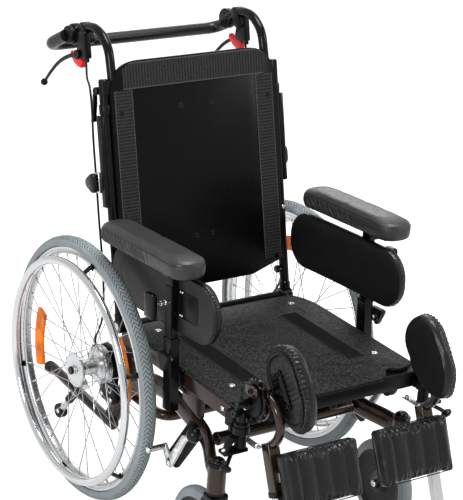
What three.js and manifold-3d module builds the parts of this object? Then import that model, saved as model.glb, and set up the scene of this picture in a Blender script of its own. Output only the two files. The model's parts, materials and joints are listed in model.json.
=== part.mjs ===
// A tilt in space wheelchair with spoked drive wheels, a hard back shell, a flat seat board and lifting leg rests.
// Millimetres, +Z up, floor at z = 0. The sitter faces -Y and has the left hand on the +X side.
// Every side piece is drawn once, for +X, and a group that is mirrored in X shows it on the right.
// Places are measured from the drive wheels' axle line; the finished chair is then centred on its own length.
import * as THREE from "three";
import { mergeVertices } from "three/addons/utils/BufferGeometryUtils.js";
import Module from "manifold-3d";

const wasm = await Module();
wasm.setup();

// Clearances and cutting allowances
const seatGap = 0.3;
const boreGap = 0.3;
const overrun = 4;
const weldDistance = 1e-3;
const fullTurn = 2 * Math.PI;
const degree = Math.PI / 180;

// Facet counts
const wheelFacets = 36;
const hubFacets = 12;
const casterFacets = 16;
const boreFacets = 8;
const roundFacets = 10;
const pinFacets = 6;
const tubeFacets = 8;
const lugSegments = 2;
const outlineSegments = 3;

// Driving sizes of the chair
const wheelRadius = 305;
const wheelX = 294;
const axleZ = wheelRadius;
const frameX = 195;
const frameTube = { halfWide: 13, halfHigh: 24 };
const frameSideX = frameX + frameTube.halfWide;
const seatTopZ = 430;
const seatBoardThick = 7;
const railX = 222;
const railHalfWide = 12.5;
const railTopZ = seatTopZ - seatBoardThick - seatGap;
const railHigh = 37.7;
const railFrontY = -509.7;
const railRearY = -100;
const tiltPivot = { y: -45, z: 355 };
const reclinePivot = { y: -46, z: 415 };
const pivotRadius = 6;
const backLean = 12.9 * degree;
const caneX = 226;
const caneRadius = 11;
const handleX = 204;
const handleRadius = 10.5;
const armLean = 3.6 * degree;
const armFoot = { x: 258, y: -314, z: 385 };
const hangerPost = { x: 240, y: -558 };
const liftPivot = { y: -575, z: 462 };
const footTubeX = 200;
const casterStem = { x: 245, y: -490 };
const casterRadius = 100;
const casterTrail = 45;

// Materials
function paint(color, roughness, metalness) {
  return new THREE.MeshStandardMaterial({ color, roughness, metalness });
}
const bronze = paint(0x33241d, 0.35, 0.6);
const glossBlack = paint(0x0b0b0c, 0.25, 0.1);
const mattBlack = paint(0x141415, 0.7, 0);
const plastic = paint(0x1a1a1b, 0.55, 0);
const silver = paint(0xc9ccce, 0.3, 0.9);
const chrome = paint(0xe6e8ea, 0.12, 1);
const tyreRubber = paint(0x5b646c, 0.8, 0);
const grip = paint(0x161617, 0.85, 0);
const leather = paint(0x232324, 0.6, 0);
const board = paint(0x1d1d1e, 0.75, 0);

// Solids from three.js geometry
function solid(geometry) {
  const bare = geometry.index ? geometry.toNonIndexed() : geometry.clone();
  bare.deleteAttribute("normal");
  bare.deleteAttribute("uv");
  const welded = mergeVertices(bare, weldDistance);
  const corners = welded.index.array;
  const kept = [];
  for (let i = 0; i < corners.length; i += 3) {
    const [a, b, c] = [corners[i], corners[i + 1], corners[i + 2]];
    if (a !== b && b !== c && c !== a) kept.push(a, b, c);
  }
  const vertProperties = welded.attributes.position.array;
  const build = (list) =>
    new wasm.Manifold(new wasm.Mesh({ numProp: 3, vertProperties, triVerts: new Uint32Array(list) }));
  const made = build(kept);
  return made.volume() < 0 ? build(kept.reverse()) : made;
}

function join(...pieces) {
  return pieces.reduce((whole, piece) => whole.add(piece));
}

function cut(whole, ...tools) {
  return tools.reduce((rest, tool) => rest.subtract(tool), whole);
}

function geometryOf(made) {
  const mesh = made.getMesh();
  const geometry = new THREE.BufferGeometry();
  geometry.setAttribute("position", new THREE.BufferAttribute(mesh.vertProperties, mesh.numProp));
  geometry.setIndex(new THREE.BufferAttribute(mesh.triVerts, 1));
  geometry.computeVertexNormals();
  return geometry;
}

// A box between two opposite corners
function block([x0, y0, z0], [x1, y1, z1]) {
  const geometry = new THREE.BoxGeometry(Math.abs(x1 - x0), Math.abs(y1 - y0), Math.abs(z1 - z0));
  geometry.translate((x0 + x1) / 2, (y0 + y1) / 2, (z0 + z1) / 2);
  return solid(geometry);
}

// A round bar, disc or cone from one point to another
function bar(from, to, radius, facets = roundFacets, endRadius = radius) {
  const start = new THREE.Vector3(...from);
  const along = new THREE.Vector3(...to).sub(start);
  const geometry = new THREE.CylinderGeometry(endRadius, radius, along.length(), facets);
  geometry.translate(0, along.length() / 2, 0);
  const up = new THREE.Vector3(0, 1, 0);
  geometry.applyQuaternion(new THREE.Quaternion().setFromUnitVectors(up, along.normalize()));
  geometry.translate(...from);
  return solid(geometry);
}

// A bar along X at one place in the YZ plane
function barX(x0, x1, { y, z }, radius, facets = roundFacets) {
  return bar([x0, y, z], [x1, y, z], radius, facets);
}

// A cutting bar for a hole that clears a pin of this radius across its flats and runs past both ends
function bore([ax, ay, az], [bx, by, bz], pinRadius) {
  const acrossCorners = (pinRadius + boreGap) / Math.cos(Math.PI / boreFacets);
  const start = new THREE.Vector3(ax, ay, az);
  const end = new THREE.Vector3(bx, by, bz);
  const past = end.clone().sub(start).setLength(overrun);
  return bar(start.sub(past).toArray(), end.add(past).toArray(), acrossCorners, boreFacets);
}

function boreX(x0, x1, { y, z }, pinRadius) {
  return bore([x0, y, z], [x1, y, z], pinRadius);
}

function ball(x, y, z, radius) {
  return solid(new THREE.SphereGeometry(radius, tubeFacets, pinFacets).translate(x, y, z));
}

// An outline in the YZ plane, drawn as (y, z), as thick as x0 to x1
function plateX(shape, x0, x1) {
  const options = { depth: x1 - x0, bevelEnabled: false, curveSegments: lugSegments };
  const geometry = new THREE.ExtrudeGeometry(shape, options);
  const yzx = new THREE.Matrix4().makeBasis(
    new THREE.Vector3(0, 1, 0),
    new THREE.Vector3(0, 0, 1),
    new THREE.Vector3(1, 0, 0),
  );
  return solid(geometry.applyMatrix4(yzx).translate(x0, 0, 0));
}

// An outline in the XZ plane, drawn as (x, z), as thick as y0 to y1
function plateY(shape, y0, y1) {
  const options = { depth: y1 - y0, bevelEnabled: false, curveSegments: outlineSegments };
  const geometry = new THREE.ExtrudeGeometry(shape, options);
  return solid(geometry.rotateX(Math.PI / 2).translate(0, y1, 0));
}

// An outline in the XY plane as thick as z0 to z1
function plateZ(shape, z0, z1) {
  const options = { depth: z1 - z0, bevelEnabled: false, curveSegments: outlineSegments };
  const geometry = new THREE.ExtrudeGeometry(shape, options);
  return solid(geometry.translate(0, 0, z0));
}

// A closed outline whose corners are rounded, each by its own third number or else by one radius
function rounded(corners, radius) {
  const points = corners.map(([x, y]) => new THREE.Vector2(x, y));
  const shape = new THREE.Shape();
  points.forEach((corner, i) => {
    const back = points.at(i - 1).clone().sub(corner);
    const ahead = points[(i + 1) % points.length].clone().sub(corner);
    const bend = corners[i][2] ?? radius;
    const half = Math.acos(back.dot(ahead) / (back.length() * ahead.length())) / 2;
    const reach = Math.min(bend / Math.tan(half), back.length() / 2, ahead.length() / 2);
    const enter = back.setLength(reach).add(corner);
    const leave = ahead.setLength(reach).add(corner);
    if (i === 0) shape.moveTo(enter.x, enter.y);
    else shape.lineTo(enter.x, enter.y);
    if (reach > weldDistance) shape.quadraticCurveTo(corner.x, corner.y, leave.x, leave.y);
  });
  shape.closePath();
  return shape;
}

function rectangle(x0, y0, x1, y1, radius) {
  return rounded([[x0, y0], [x1, y0], [x1, y1], [x0, y1]], radius);
}

// Two circles and their outer tangents
function link(first, firstRadius, second, secondRadius) {
  const [ax, ay] = first;
  const [bx, by] = second;
  const heading = Math.atan2(by - ay, bx - ax);
  const spread = Math.acos((firstRadius - secondRadius) / Math.hypot(bx - ax, by - ay));
  const shape = new THREE.Shape();
  shape.absarc(ax, ay, firstRadius, heading + spread, heading - spread + fullTurn, false);
  shape.absarc(bx, by, secondRadius, heading - spread, heading + spread, false);
  shape.closePath();
  return shape;
}

function ovalSection(halfWide, halfHigh, facets) {
  const points = [];
  for (let i = 0; i < facets; i += 1) {
    const angle = (fullTurn * i) / facets;
    points.push(new THREE.Vector2(halfWide * Math.cos(angle), halfHigh * Math.sin(angle)));
  }
  return new THREE.Shape(points);
}

// The most of a straight run that one of its bends may take
const bendShare = 0.475;

// A centre line of straight runs and bends, with a station only where it starts, ends or bends
class BentLine extends THREE.Curve {
  constructor(corners, bendRadius, bendSteps) {
    super();
    const points = corners.map((corner) => new THREE.Vector3(...corner));
    this.stations = [points[0]];
    for (let i = 1; i < points.length - 1; i += 1) {
      const back = points[i - 1].clone().sub(points[i]);
      const ahead = points[i + 1].clone().sub(points[i]);
      const half = back.angleTo(ahead) / 2;
      const reach = Math.min(bendRadius / Math.tan(half), back.length() * bendShare, ahead.length() * bendShare);
      const enter = back.setLength(reach).add(points[i]);
      const leave = ahead.setLength(reach).add(points[i]);
      const bend = new THREE.QuadraticBezierCurve3(enter, points[i], leave);
      this.stations.push(...bend.getPoints(bendSteps));
    }
    this.stations.push(points.at(-1));
    this.steps = this.stations.length - 1;
  }
  getPoint(share, target = new THREE.Vector3()) {
    const place = share * this.steps;
    const before = Math.min(Math.floor(place), this.steps - 1);
    return target.lerpVectors(this.stations[before], this.stations[before + 1], place - before);
  }
  getPointAt(share, target) {
    return this.getPoint(share, target);
  }
  getTangentAt(share, target = new THREE.Vector3()) {
    const here = Math.round(share * this.steps);
    const before = this.stations[Math.max(here - 1, 0)];
    const after = this.stations[Math.min(here + 1, this.steps)];
    const into = this.stations[here].clone().sub(before).normalize();
    return target.subVectors(after, this.stations[here]).normalize().add(into).normalize();
  }
}

function tubeAlong(line, section) {
  const extrudePath = line;
  return solid(new THREE.ExtrudeGeometry(section, { steps: line.steps, bevelEnabled: false, extrudePath }));
}

function roundTube(corners, radius, bendRadius, bendSteps = 3, facets = tubeFacets) {
  return tubeAlong(new BentLine(corners, bendRadius, bendSteps), ovalSection(radius, radius, facets));
}

// A closed profile of [radius, x] points turned about the X axis at one place in the YZ plane.
// Radii hold across the flats, and one flat lies lowest, so that a wheel stands on it.
function turnedX(profile, { y, z }, facets) {
  const halfFacet = Math.PI / facets;
  const points = profile.map(([radius, along]) => new THREE.Vector2(radius / Math.cos(halfFacet), along));
  points.push(points[0].clone());
  const geometry = new THREE.LatheGeometry(points, facets, halfFacet);
  return solid(geometry.rotateZ(-Math.PI / 2).translate(0, y, z));
}

// A soft or moulded block built up of rings: each layer draws a rounded rectangle in and lifts it
function layered({ halfLong, halfWide, corner, perCorner }, layers) {
  const positions = [];
  const index = [];
  const ringSize = 4 * (perCorner + 1);
  const centres = [[halfLong, halfWide], [-halfLong, halfWide], [-halfLong, -halfWide], [halfLong, -halfWide]];
  layers.forEach(({ inset, rise, lift = () => 0 }) => {
    const radius = Math.max(corner - inset, corner / perCorner / 4);
    centres.forEach(([longEnd, wideEnd], quarter) => {
      for (let i = 0; i <= perCorner; i += 1) {
        const angle = (quarter + i / perCorner) * (Math.PI / 2);
        const x = Math.sign(longEnd) * (halfLong - inset - radius) + radius * Math.cos(angle);
        const y = Math.sign(wideEnd) * (halfWide - inset - radius) + radius * Math.sin(angle);
        positions.push(x, y, rise + lift(x, y));
      }
    });
  });
  for (let layer = 0; layer < layers.length - 1; layer += 1) {
    for (let i = 0; i < ringSize; i += 1) {
      const [a, b] = [layer * ringSize + i, layer * ringSize + ((i + 1) % ringSize)];
      index.push(a, b, b + ringSize, a, b + ringSize, a + ringSize);
    }
  }
  const last = (layers.length - 1) * ringSize;
  for (let i = 1; i < ringSize - 1; i += 1) {
    index.push(0, i + 1, i);
    index.push(last, last + i, last + i + 1);
  }
  const geometry = new THREE.BufferGeometry();
  geometry.setAttribute("position", new THREE.Float32BufferAttribute(positions, 3));
  geometry.setIndex(index);
  return geometry;
}

// The scene graph: one group for the chair and a mirrored pair of groups for the sides
const chair = new THREE.Group();
const sides = ["left", "right"].map((name, i) => {
  const group = new THREE.Group();
  group.scale.x = i === 0 ? 1 : -1;
  chair.add(group);
  return { name, group };
});

function place(name, geometry, material, parent = chair) {
  const mesh = new THREE.Mesh(geometry, material);
  mesh.name = name;
  parent.add(mesh);
}

function placePair(name, made, material, pose = new THREE.Matrix4()) {
  const geometry = geometryOf(made).applyMatrix4(pose);
  sides.forEach((side) => place(`${name}_${side.name}`, geometry, material, side.group));
}

function placeOne(name, made, material, pose = new THREE.Matrix4()) {
  place(name, geometryOf(made).applyMatrix4(pose), material);
}

// A frame of its own for the leaning back and for the leaning arm: its origin, then its lean about X
function leaning({ x = 0, y, z }, lean) {
  return new THREE.Matrix4().makeTranslation(x, y, z).multiply(new THREE.Matrix4().makeRotationX(-lean));
}
const backPose = leaning(reclinePivot, backLean);
const armPose = leaning(armFoot, armLean);

// Drive wheels
const axleLine = { y: 0, z: axleZ };
const tyre = { section: 17, seatRadius: 282, facets: 6 };
const rim = { outerRadius: tyre.seatRadius - seatGap, innerRadius: 264, halfWide: 12, halfNose: 8, shoulder: 8 };
const hub = {
  boreRadius: pivotRadius + boreGap,
  barrelRadius: 18,
  flangeRadius: 40,
  flangeThick: 3,
  outerFlangeX: 313,
  innerFlangeX: 257,
  drumRadius: 44,
  drumWide: 16,
  noseRadius: 14,
  noseLong: 5,
};
const spoke = { count: 36, radius: 1.1, hubRadius: 36, crossAngle: 60 * degree, rimBite: 3, headOffset: 2 };
const handrim = {
  radius: 254.6, tubeRadius: 9.5, x: 332, facets: 24, tubeFacets: 6,
  standOffs: 5, standWide: 12, standThick: 3, footHigh: 14,
};

function driveTyre() {
  const centreRadius = wheelRadius - tyre.section;
  const seatAngle = Math.acos((tyre.seatRadius - centreRadius) / tyre.section);
  const profile = [];
  for (let i = 0; i < tyre.facets; i += 1) {
    const angle = seatAngle * (1 - (2 * i) / (tyre.facets - 1));
    const radius = centreRadius + tyre.section * Math.cos(angle);
    profile.push([radius, wheelX + tyre.section * Math.sin(angle)]);
  }
  const crown = [wheelRadius, wheelX];
  profile.splice(tyre.facets / 2, 0, crown);
  return turnedX(profile, axleLine, wheelFacets);
}

// Three-cross lacing: each spoke leaves its flange along a tangent and meets the rim a sixth of a turn on
function spokes() {
  const perFlange = spoke.count / 2;
  const pitch = fullTurn / perFlange;
  const rimRadius = rim.innerRadius + spoke.rimBite;
  const made = [];
  for (let i = 0; i < spoke.count; i += 1) {
    const outer = i % 2 === 0;
    const k = Math.floor(i / 2);
    const leading = k % 2 === 0 ? 1 : -1;
    const hubAngle = pitch * k + (outer ? 0 : pitch / 2);
    const rimAngle = hubAngle + leading * spoke.crossAngle;
    const flangeX = (outer ? hub.outerFlangeX : hub.innerFlangeX) + leading * spoke.headOffset;
    const at = (radius, angle, x) => [x, radius * Math.cos(angle), axleZ + radius * Math.sin(angle)];
    made.push(bar(at(spoke.hubRadius, hubAngle, flangeX), at(rimRadius, rimAngle, wheelX), spoke.radius, 3));
  }
  return join(...made);
}

function spokedWheel() {
  const { outerRadius, innerRadius, halfWide, halfNose, shoulder } = rim;
  const rimProfile = [
    [outerRadius, wheelX - halfWide],
    [outerRadius, wheelX + halfWide],
    [innerRadius + shoulder, wheelX + halfWide],
    [innerRadius, wheelX + halfNose],
    [innerRadius, wheelX - halfNose],
    [innerRadius + shoulder, wheelX - halfWide],
  ];
  const half = hub.flangeThick;
  const hubProfile = [
    [hub.boreRadius, hub.innerFlangeX - half - hub.drumWide],
    [hub.drumRadius, hub.innerFlangeX - half - hub.drumWide],
    [hub.drumRadius, hub.innerFlangeX - half],
    [hub.flangeRadius, hub.innerFlangeX + half],
    [hub.barrelRadius, hub.innerFlangeX + 2 * half],
    [hub.barrelRadius, hub.outerFlangeX - 2 * half],
    [hub.flangeRadius, hub.outerFlangeX - half],
    [hub.flangeRadius, hub.outerFlangeX + half],
    [hub.noseRadius, hub.outerFlangeX + half],
    [hub.noseRadius, hub.outerFlangeX + hub.noseLong],
    [hub.boreRadius, hub.outerFlangeX + hub.noseLong],
  ];
  return join(turnedX(rimProfile, axleLine, wheelFacets), turnedX(hubProfile, axleLine, hubFacets), spokes());
}

function handrimRing() {
  const profile = [];
  for (let i = 0; i < handrim.tubeFacets; i += 1) {
    const angle = (fullTurn * i) / handrim.tubeFacets;
    const { radius, x, tubeRadius } = handrim;
    profile.push([radius + tubeRadius * Math.cos(angle), x + tubeRadius * Math.sin(angle)]);
  }
  let ring = turnedX(profile, axleLine, handrim.facets);
  const faceX = wheelX + rim.halfWide + seatGap;
  const footTop = rim.outerRadius - handrim.standThick / 2;
  const footLow = footTop - handrim.footHigh;
  const standOutline = [
    [faceX, axleZ + footTop],
    [faceX + handrim.standThick, axleZ + footTop],
    [faceX + handrim.standThick, axleZ + footLow],
    [handrim.x, axleZ + handrim.radius + handrim.tubeRadius / 2],
    [handrim.x - handrim.tubeRadius / 2, axleZ + handrim.radius],
    [faceX, axleZ + footLow - handrim.standThick],
  ];
  const stand = plateY(rounded(standOutline, 0), -handrim.standWide / 2, handrim.standWide / 2);
  const standGeometry = geometryOf(stand);
  for (let i = 0; i < handrim.standOffs; i += 1) {
    const turned = standGeometry.clone().translate(0, 0, -axleZ);
    turned.rotateX((fullTurn * i) / handrim.standOffs).translate(0, 0, axleZ);
    ring = ring.add(solid(turned));
  }
  return ring;
}

placePair("tyre", driveTyre(), tyreRubber);
placePair("spoked_wheel", spokedWheel(), silver);
placePair("handrim", handrimRing(), chrome);

// Axle plates: bolted outside the arch, with spare axle holes and the quick-release stub axle
const axlePlate = { thick: 12, frontY: -20, rearY: 45, lowZ: 200, highZ: 340, corner: 14, bossRadius: 17 };
const axlePlateX = frameSideX + seatGap;
const spareHoles = { pitch: 30, count: 2 };
const cableStop = { frontY: 36, rearY: 62, lowZ: 314, highZ: 326, outerX: 236 };
const releaseButton = { radius: 10, long: 9, headX: hub.outerFlangeX + hub.noseLong + seatGap };

function axlePlateSolid() {
  const outline = rectangle(axlePlate.frontY, axlePlate.lowZ, axlePlate.rearY, axlePlate.highZ, axlePlate.corner);
  const outerX = axlePlateX + axlePlate.thick;
  const bossX = hub.innerFlangeX - hub.flangeThick - hub.drumWide - 5 * seatGap;
  let plate = plateX(outline, axlePlateX, outerX);
  plate = join(plate, barX(outerX - seatGap, bossX, axleLine, axlePlate.bossRadius));
  plate = join(plate, barX(outerX, releaseButton.headX + seatGap, axleLine, pivotRadius, pinFacets));
  plate = join(plate, barX(releaseButton.headX, releaseButton.headX + releaseButton.long, axleLine, releaseButton.radius));
  plate = join(plate, block(
    [outerX - overrun, cableStop.frontY, cableStop.lowZ],
    [cableStop.outerX, cableStop.rearY, cableStop.highZ],
  ));
  for (let i = 1; i <= spareHoles.count; i += 1) {
    const hole = { y: axleLine.y, z: axleZ - i * spareHoles.pitch - spareHoles.pitch / 3 };
    plate = cut(plate, boreX(axlePlateX, outerX, hole, pivotRadius));
  }
  return plate;
}
placePair("axle_plate", axlePlateSolid(), mattBlack);

// Base side frames: an oval arch from the caster head back and down onto the lower tube
const archPoints = [
  [frameX, 24, 150],
  [frameX, -28, 238],
  [frameX, -105, 296],
  [frameX, -200, 316],
  [frameX, -300, 298],
  [frameX + 3, -370, 280],
  [casterStem.x - 8, -458, 262],
  [casterStem.x, -492, 256],
];
const archSteps = 10;
const archFacets = 8;
const casterHead = { radius: 20, lowZ: 212, highZ: 285, stemRadius: 8 };
const lowerTube = { x: 205, radius: 12.5, frontY: -5, frontZ: 142, rearY: 300, rearZ: 165 };
const footCap = { radius: 14.5, rearY: 318, rearZ: 159.5, startY: 285, startZ: 162 };
const tiltStand = { innerX: 186, outerX: 204, footFrontY: -112, footRearY: -22, footZ: 262, width: 24 };
const pinHead = { radius: 10, thick: 3.5 };
const cheek = { thick: 4, innerX: railX - railHalfWide - seatGap, radius: 16, frontY: -170 };
const restStop = { frontY: -350, rearY: -272, thick: 12, topZ: railTopZ - railHigh - seatGap, wallThick: 10 };
const lockPivot = { y: -335, z: 215 };
const lockBracket = { frontY: -349, rearY: -321, topZ: 300, outerX: 258, thick: 12 };
const lockPin = { radius: 5, headRadius: 8.5, headThick: 3 };
const lockLever = { innerX: lockBracket.outerX + seatGap, thick: 8, hubRadius: 11, neckRadius: 8 };
const tipperPivot = { y: 195, z: 157 };
const tipperX = { outer: 189, inner: 171 };

function arch(extra) {
  const curve = new THREE.CatmullRomCurve3(archPoints.map((point) => new THREE.Vector3(...point)));
  curve.steps = archSteps;
  return tubeAlong(curve, ovalSection(frameTube.halfWide + extra, frameTube.halfHigh + extra, archFacets));
}

function baseFrame() {
  const { x, y } = casterStem;
  const head = bar([x, y, casterHead.lowZ], [x, y, casterHead.highZ], casterHead.radius, roundFacets);
  const headBore = bore([x, y, casterHead.lowZ], [x, y, casterHead.highZ], casterHead.stemRadius);
  const lower = bar(
    [lowerTube.x, lowerTube.frontY, lowerTube.frontZ],
    [lowerTube.x, lowerTube.rearY, lowerTube.rearZ],
    lowerTube.radius,
  );
  const cap = bar(
    [lowerTube.x, footCap.startY, footCap.startZ],
    [lowerTube.x, footCap.rearY, footCap.rearZ],
    footCap.radius,
  );
  const standTop = tiltPivot.z + tiltStand.width / 3;
  const stand = plateX(
    rounded([
      [tiltStand.footFrontY, tiltStand.footZ + frameTube.halfHigh],
      [tiltStand.footRearY, tiltStand.footZ - frameTube.halfHigh],
      [tiltPivot.y + tiltStand.width, standTop],
      [tiltPivot.y - tiltStand.width, standTop],
    ], tiltStand.width / 2),
    tiltStand.innerX,
    tiltStand.outerX,
  );
  const headX = cheek.innerX + cheek.thick + seatGap;
  const tiltPin = barX(tiltStand.outerX - overrun, headX + pinHead.thick, tiltPivot, pivotRadius, pinFacets);
  const tiltHead = barX(headX, headX + pinHead.thick, tiltPivot, pinHead.radius);
  const stopWall = plateX(
    rounded([
      [restStop.frontY, axleZ],
      [restStop.rearY, axleZ],
      [restStop.rearY, restStop.topZ],
      [restStop.frontY, restStop.topZ],
    ], restStop.wallThick),
    frameX - restStop.wallThick / 2,
    frameX + restStop.wallThick / 2,
  );
  const stopShelf = block(
    [frameX - restStop.wallThick / 2, restStop.frontY + restStop.wallThick, restStop.topZ - restStop.thick],
    [railX + railHalfWide, restStop.rearY - restStop.wallThick, restStop.topZ],
  );
  const lowLock = lockPivot.z - lockPin.headRadius;
  const bracket = plateY(
    rounded([
      [frameX, lockBracket.topZ],
      [frameX + frameTube.halfWide, lockBracket.topZ],
      [lockBracket.outerX, lockPivot.z + 2 * lockBracket.thick],
      [lockBracket.outerX, lowLock],
      [lockBracket.outerX - lockBracket.thick, lowLock],
      [frameX, lockBracket.topZ - 3 * lockBracket.thick],
    ], lockBracket.thick / 3),
    lockBracket.frontY,
    lockBracket.rearY,
  );
  const leverOuterX = lockLever.innerX + lockLever.thick + seatGap;
  const lockPinBar = barX(lockBracket.outerX - overrun, leverOuterX + seatGap, lockPivot, lockPin.radius, pinFacets);
  const lockHead = barX(leverOuterX, leverOuterX + lockPin.headThick, lockPivot, lockPin.headRadius, pinFacets);
  const tipperPin = barX(tipperX.inner - lockPin.headThick, lowerTube.x, tipperPivot, lockPin.radius, pinFacets);
  const whole = join(
    arch(0), head, lower, cap, stand, tiltPin, tiltHead, stopWall, stopShelf,
    bracket, lockPinBar, lockHead, tipperPin,
  );
  return cut(whole, headBore);
}
placePair("base_frame", baseFrame(), bronze);

// Cross tubes: the front one is coped to the arches, the rear one bows forward between them
const frontTube = { y: -385, z: 277, radius: 14 };
const rearTube = { radius: 12.5, z: 222, rearY: 12, crossY: -155, bend: 34 };
const springFoot = { earX: 9, earThick: 5, pinRadius: 4, rise: 26, width: 11 };
const tiltSpringFoot = { y: rearTube.crossY, z: rearTube.z + springFoot.rise };

function mirroredX(made) {
  return solid(geometryOf(made).toNonIndexed().scale(-1, 1, 1));
}

function frontCrossTube() {
  const whole = barX(-frameX, frameX, frontTube, frontTube.radius, roundFacets);
  const coping = arch(seatGap);
  return cut(whole, coping, mirroredX(coping));
}

function rearCrossTube() {
  const armX = frameX - frameTube.halfWide - seatGap - rearTube.radius;
  const bow = roundTube(
    [
      [-armX, rearTube.rearY, rearTube.z],
      [-armX, rearTube.crossY, rearTube.z],
      [armX, rearTube.crossY, rearTube.z],
      [armX, rearTube.rearY, rearTube.z],
    ],
    rearTube.radius,
    rearTube.bend,
  );
  const ear = link(
    [rearTube.crossY, rearTube.z],
    springFoot.width,
    [tiltSpringFoot.y, tiltSpringFoot.z],
    springFoot.width - springFoot.pinRadius / 2,
  );
  const { earX, earThick } = springFoot;
  const ears = join(plateX(ear, earX, earX + earThick), plateX(ear, -earX - earThick, -earX));
  return join(bow, ears, barX(-earX - earThick, earX + earThick, tiltSpringFoot, springFoot.pinRadius, pinFacets));
}
placeOne("front_cross_tube", frontCrossTube(), bronze);
placeOne("rear_cross_tube", rearCrossTube(), bronze);

// Casters
const casterWheel = { halfWide: 15, hubHalfWide: 16.5, hubRadius: 20, treadDepth: 22, webHalfWide: 9, axleRadius: 5 };
const fork = { crownLowZ: 199.5, crownRadius: 20, armGap: 1, armThick: 5, axleBoss: 12, crownFrontY: -512, capRadius: 16 };
const casterAxle = { y: casterStem.y + casterTrail, z: casterRadius };

function casterWheelSolid() {
  const { halfWide, hubHalfWide, hubRadius, treadDepth, webHalfWide, axleRadius } = casterWheel;
  const bore = axleRadius + boreGap;
  const profile = [
    [bore, hubHalfWide], [hubRadius, hubHalfWide], [hubRadius + webHalfWide, webHalfWide],
    [casterRadius - treadDepth, halfWide],
    [casterRadius, halfWide / 2],
  ];
  const mirrored = profile.map(([radius, along]) => [radius, -along]).reverse();
  const placed = [...profile, ...mirrored].map(([radius, along]) => [radius, casterStem.x + along]);
  return turnedX(placed, casterAxle, casterFacets);
}

function casterFork() {
  const { x, y } = casterStem;
  const crownTop = casterHead.lowZ - seatGap;
  const armInner = casterWheel.hubHalfWide + fork.armGap;
  const armOuter = armInner + fork.armThick;
  const crownOutline = rectangle(x - armOuter, fork.crownFrontY, x + armOuter, y + fork.crownRadius, fork.armThick);
  const crown = plateZ(crownOutline, fork.crownLowZ, crownTop);
  const armOutline = link([y, fork.crownLowZ], fork.crownRadius, [casterAxle.y, casterAxle.z], fork.axleBoss);
  const belowHead = block([0, fork.crownFrontY - casterRadius, 0], [axleZ + x, 0, crownTop]);
  const arms = [1, -1].map((way) => {
    const [from, to] = [x + way * armInner, x + way * armOuter];
    return plateX(armOutline, Math.min(from, to), Math.max(from, to)).intersect(belowHead);
  });
  const stemTop = casterHead.highZ + fork.armThick;
  const stem = bar([x, y, fork.crownLowZ], [x, y, stemTop - seatGap], casterHead.stemRadius, pinFacets);
  const stemCap = bar([x, y, casterHead.highZ + seatGap], [x, y, stemTop], fork.capRadius);
  const axle = barX(x - armOuter, x + armOuter, casterAxle, casterWheel.axleRadius, pinFacets);
  return join(crown, ...arms, stem, stemCap, axle);
}
placePair("caster_wheel", casterWheelSolid(), tyreRubber);
placePair("caster_fork", casterFork(), glossBlack);

// Wheel locks: a shoe that swings onto the tread, and a long lever with a ball grip
const shoe = { y: -312, z: 245, radius: 7, outerX: 308 };
const lockGrip = { y: -421, z: 321, radius: 17, armRadius: 6.5, neckY: -385, neckZ: 296 };
function wheelLock() {
  const { innerX, thick, hubRadius, neckRadius } = lockLever;
  const outerX = innerX + thick;
  const midX = innerX + thick / 2;
  const crank = join(
    plateX(link([lockPivot.y, lockPivot.z], hubRadius, [shoe.y, shoe.z], shoe.radius), innerX, outerX),
    plateX(link([lockPivot.y, lockPivot.z], hubRadius, [lockGrip.neckY, lockGrip.neckZ], neckRadius), innerX, outerX),
  );
  const roller = barX(innerX, shoe.outerX, shoe, shoe.radius, pinFacets);
  const arm = bar([midX, lockGrip.neckY, lockGrip.neckZ], [midX, lockGrip.y, lockGrip.z], lockGrip.armRadius, pinFacets);
  const gripBall = ball(midX, lockGrip.y, lockGrip.z, lockGrip.radius);
  return cut(join(crank, roller, arm, gripBall), boreX(innerX, outerX, lockPivot, lockPin.radius));
}
placePair("wheel_lock_lever", wheelLock(), silver);

// Anti-tippers: hinged inside the lower tubes, with a small roller foot behind
const tipper = { radius: 9, footY: 292, footZ: 44, footRadius: 18, footHalfWide: 10, eyeRadius: 14 };
function antiTipper() {
  const midX = (tipperX.inner + tipperX.outer) / 2;
  const eye = barX(tipperX.inner, tipperX.outer, tipperPivot, tipper.eyeRadius);
  const stay = bar([midX, tipperPivot.y, tipperPivot.z], [midX, tipper.footY, tipper.footZ], tipper.radius, pinFacets);
  const footLine = { y: tipper.footY, z: tipper.footZ };
  const foot = barX(midX - tipper.footHalfWide, midX + tipper.footHalfWide, footLine, tipper.footRadius, casterFacets);
  return cut(join(eye, stay, foot), boreX(tipperX.inner, tipperX.outer, tipperPivot, lockPin.radius));
}
placePair("anti_tipper", antiTipper(), silver);

// Seat frame: two side rails with the pivot cheeks, a front box tube with a tongue, and a rear tube
const railOutline = rectangle(
  railX - railHalfWide,
  railTopZ - railHigh,
  railX + railHalfWide,
  railTopZ,
  railHalfWide / 2,
);
function seatRail() {
  const rail = plateY(railOutline, railFrontY, railRearY);
  const cheekOutline = rounded([
    [tiltPivot.y - cheek.radius, tiltPivot.z - cheek.radius],
    [tiltPivot.y + cheek.radius, tiltPivot.z - cheek.radius],
    [reclinePivot.y + cheek.radius, reclinePivot.z + cheek.radius],
    [cheek.frontY + cheek.radius, reclinePivot.z],
    [cheek.frontY, railTopZ - railHigh],
  ], cheek.radius);
  const plate = plateX(cheekOutline, cheek.innerX, cheek.innerX + cheek.thick);
  const through = [cheek.innerX, cheek.innerX + cheek.thick];
  return cut(join(rail, plate), ...[tiltPivot, reclinePivot].map((pivot) => boreX(...through, pivot, pivotRadius)));
}
placePair("seat_rail", seatRail(), bronze);

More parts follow.
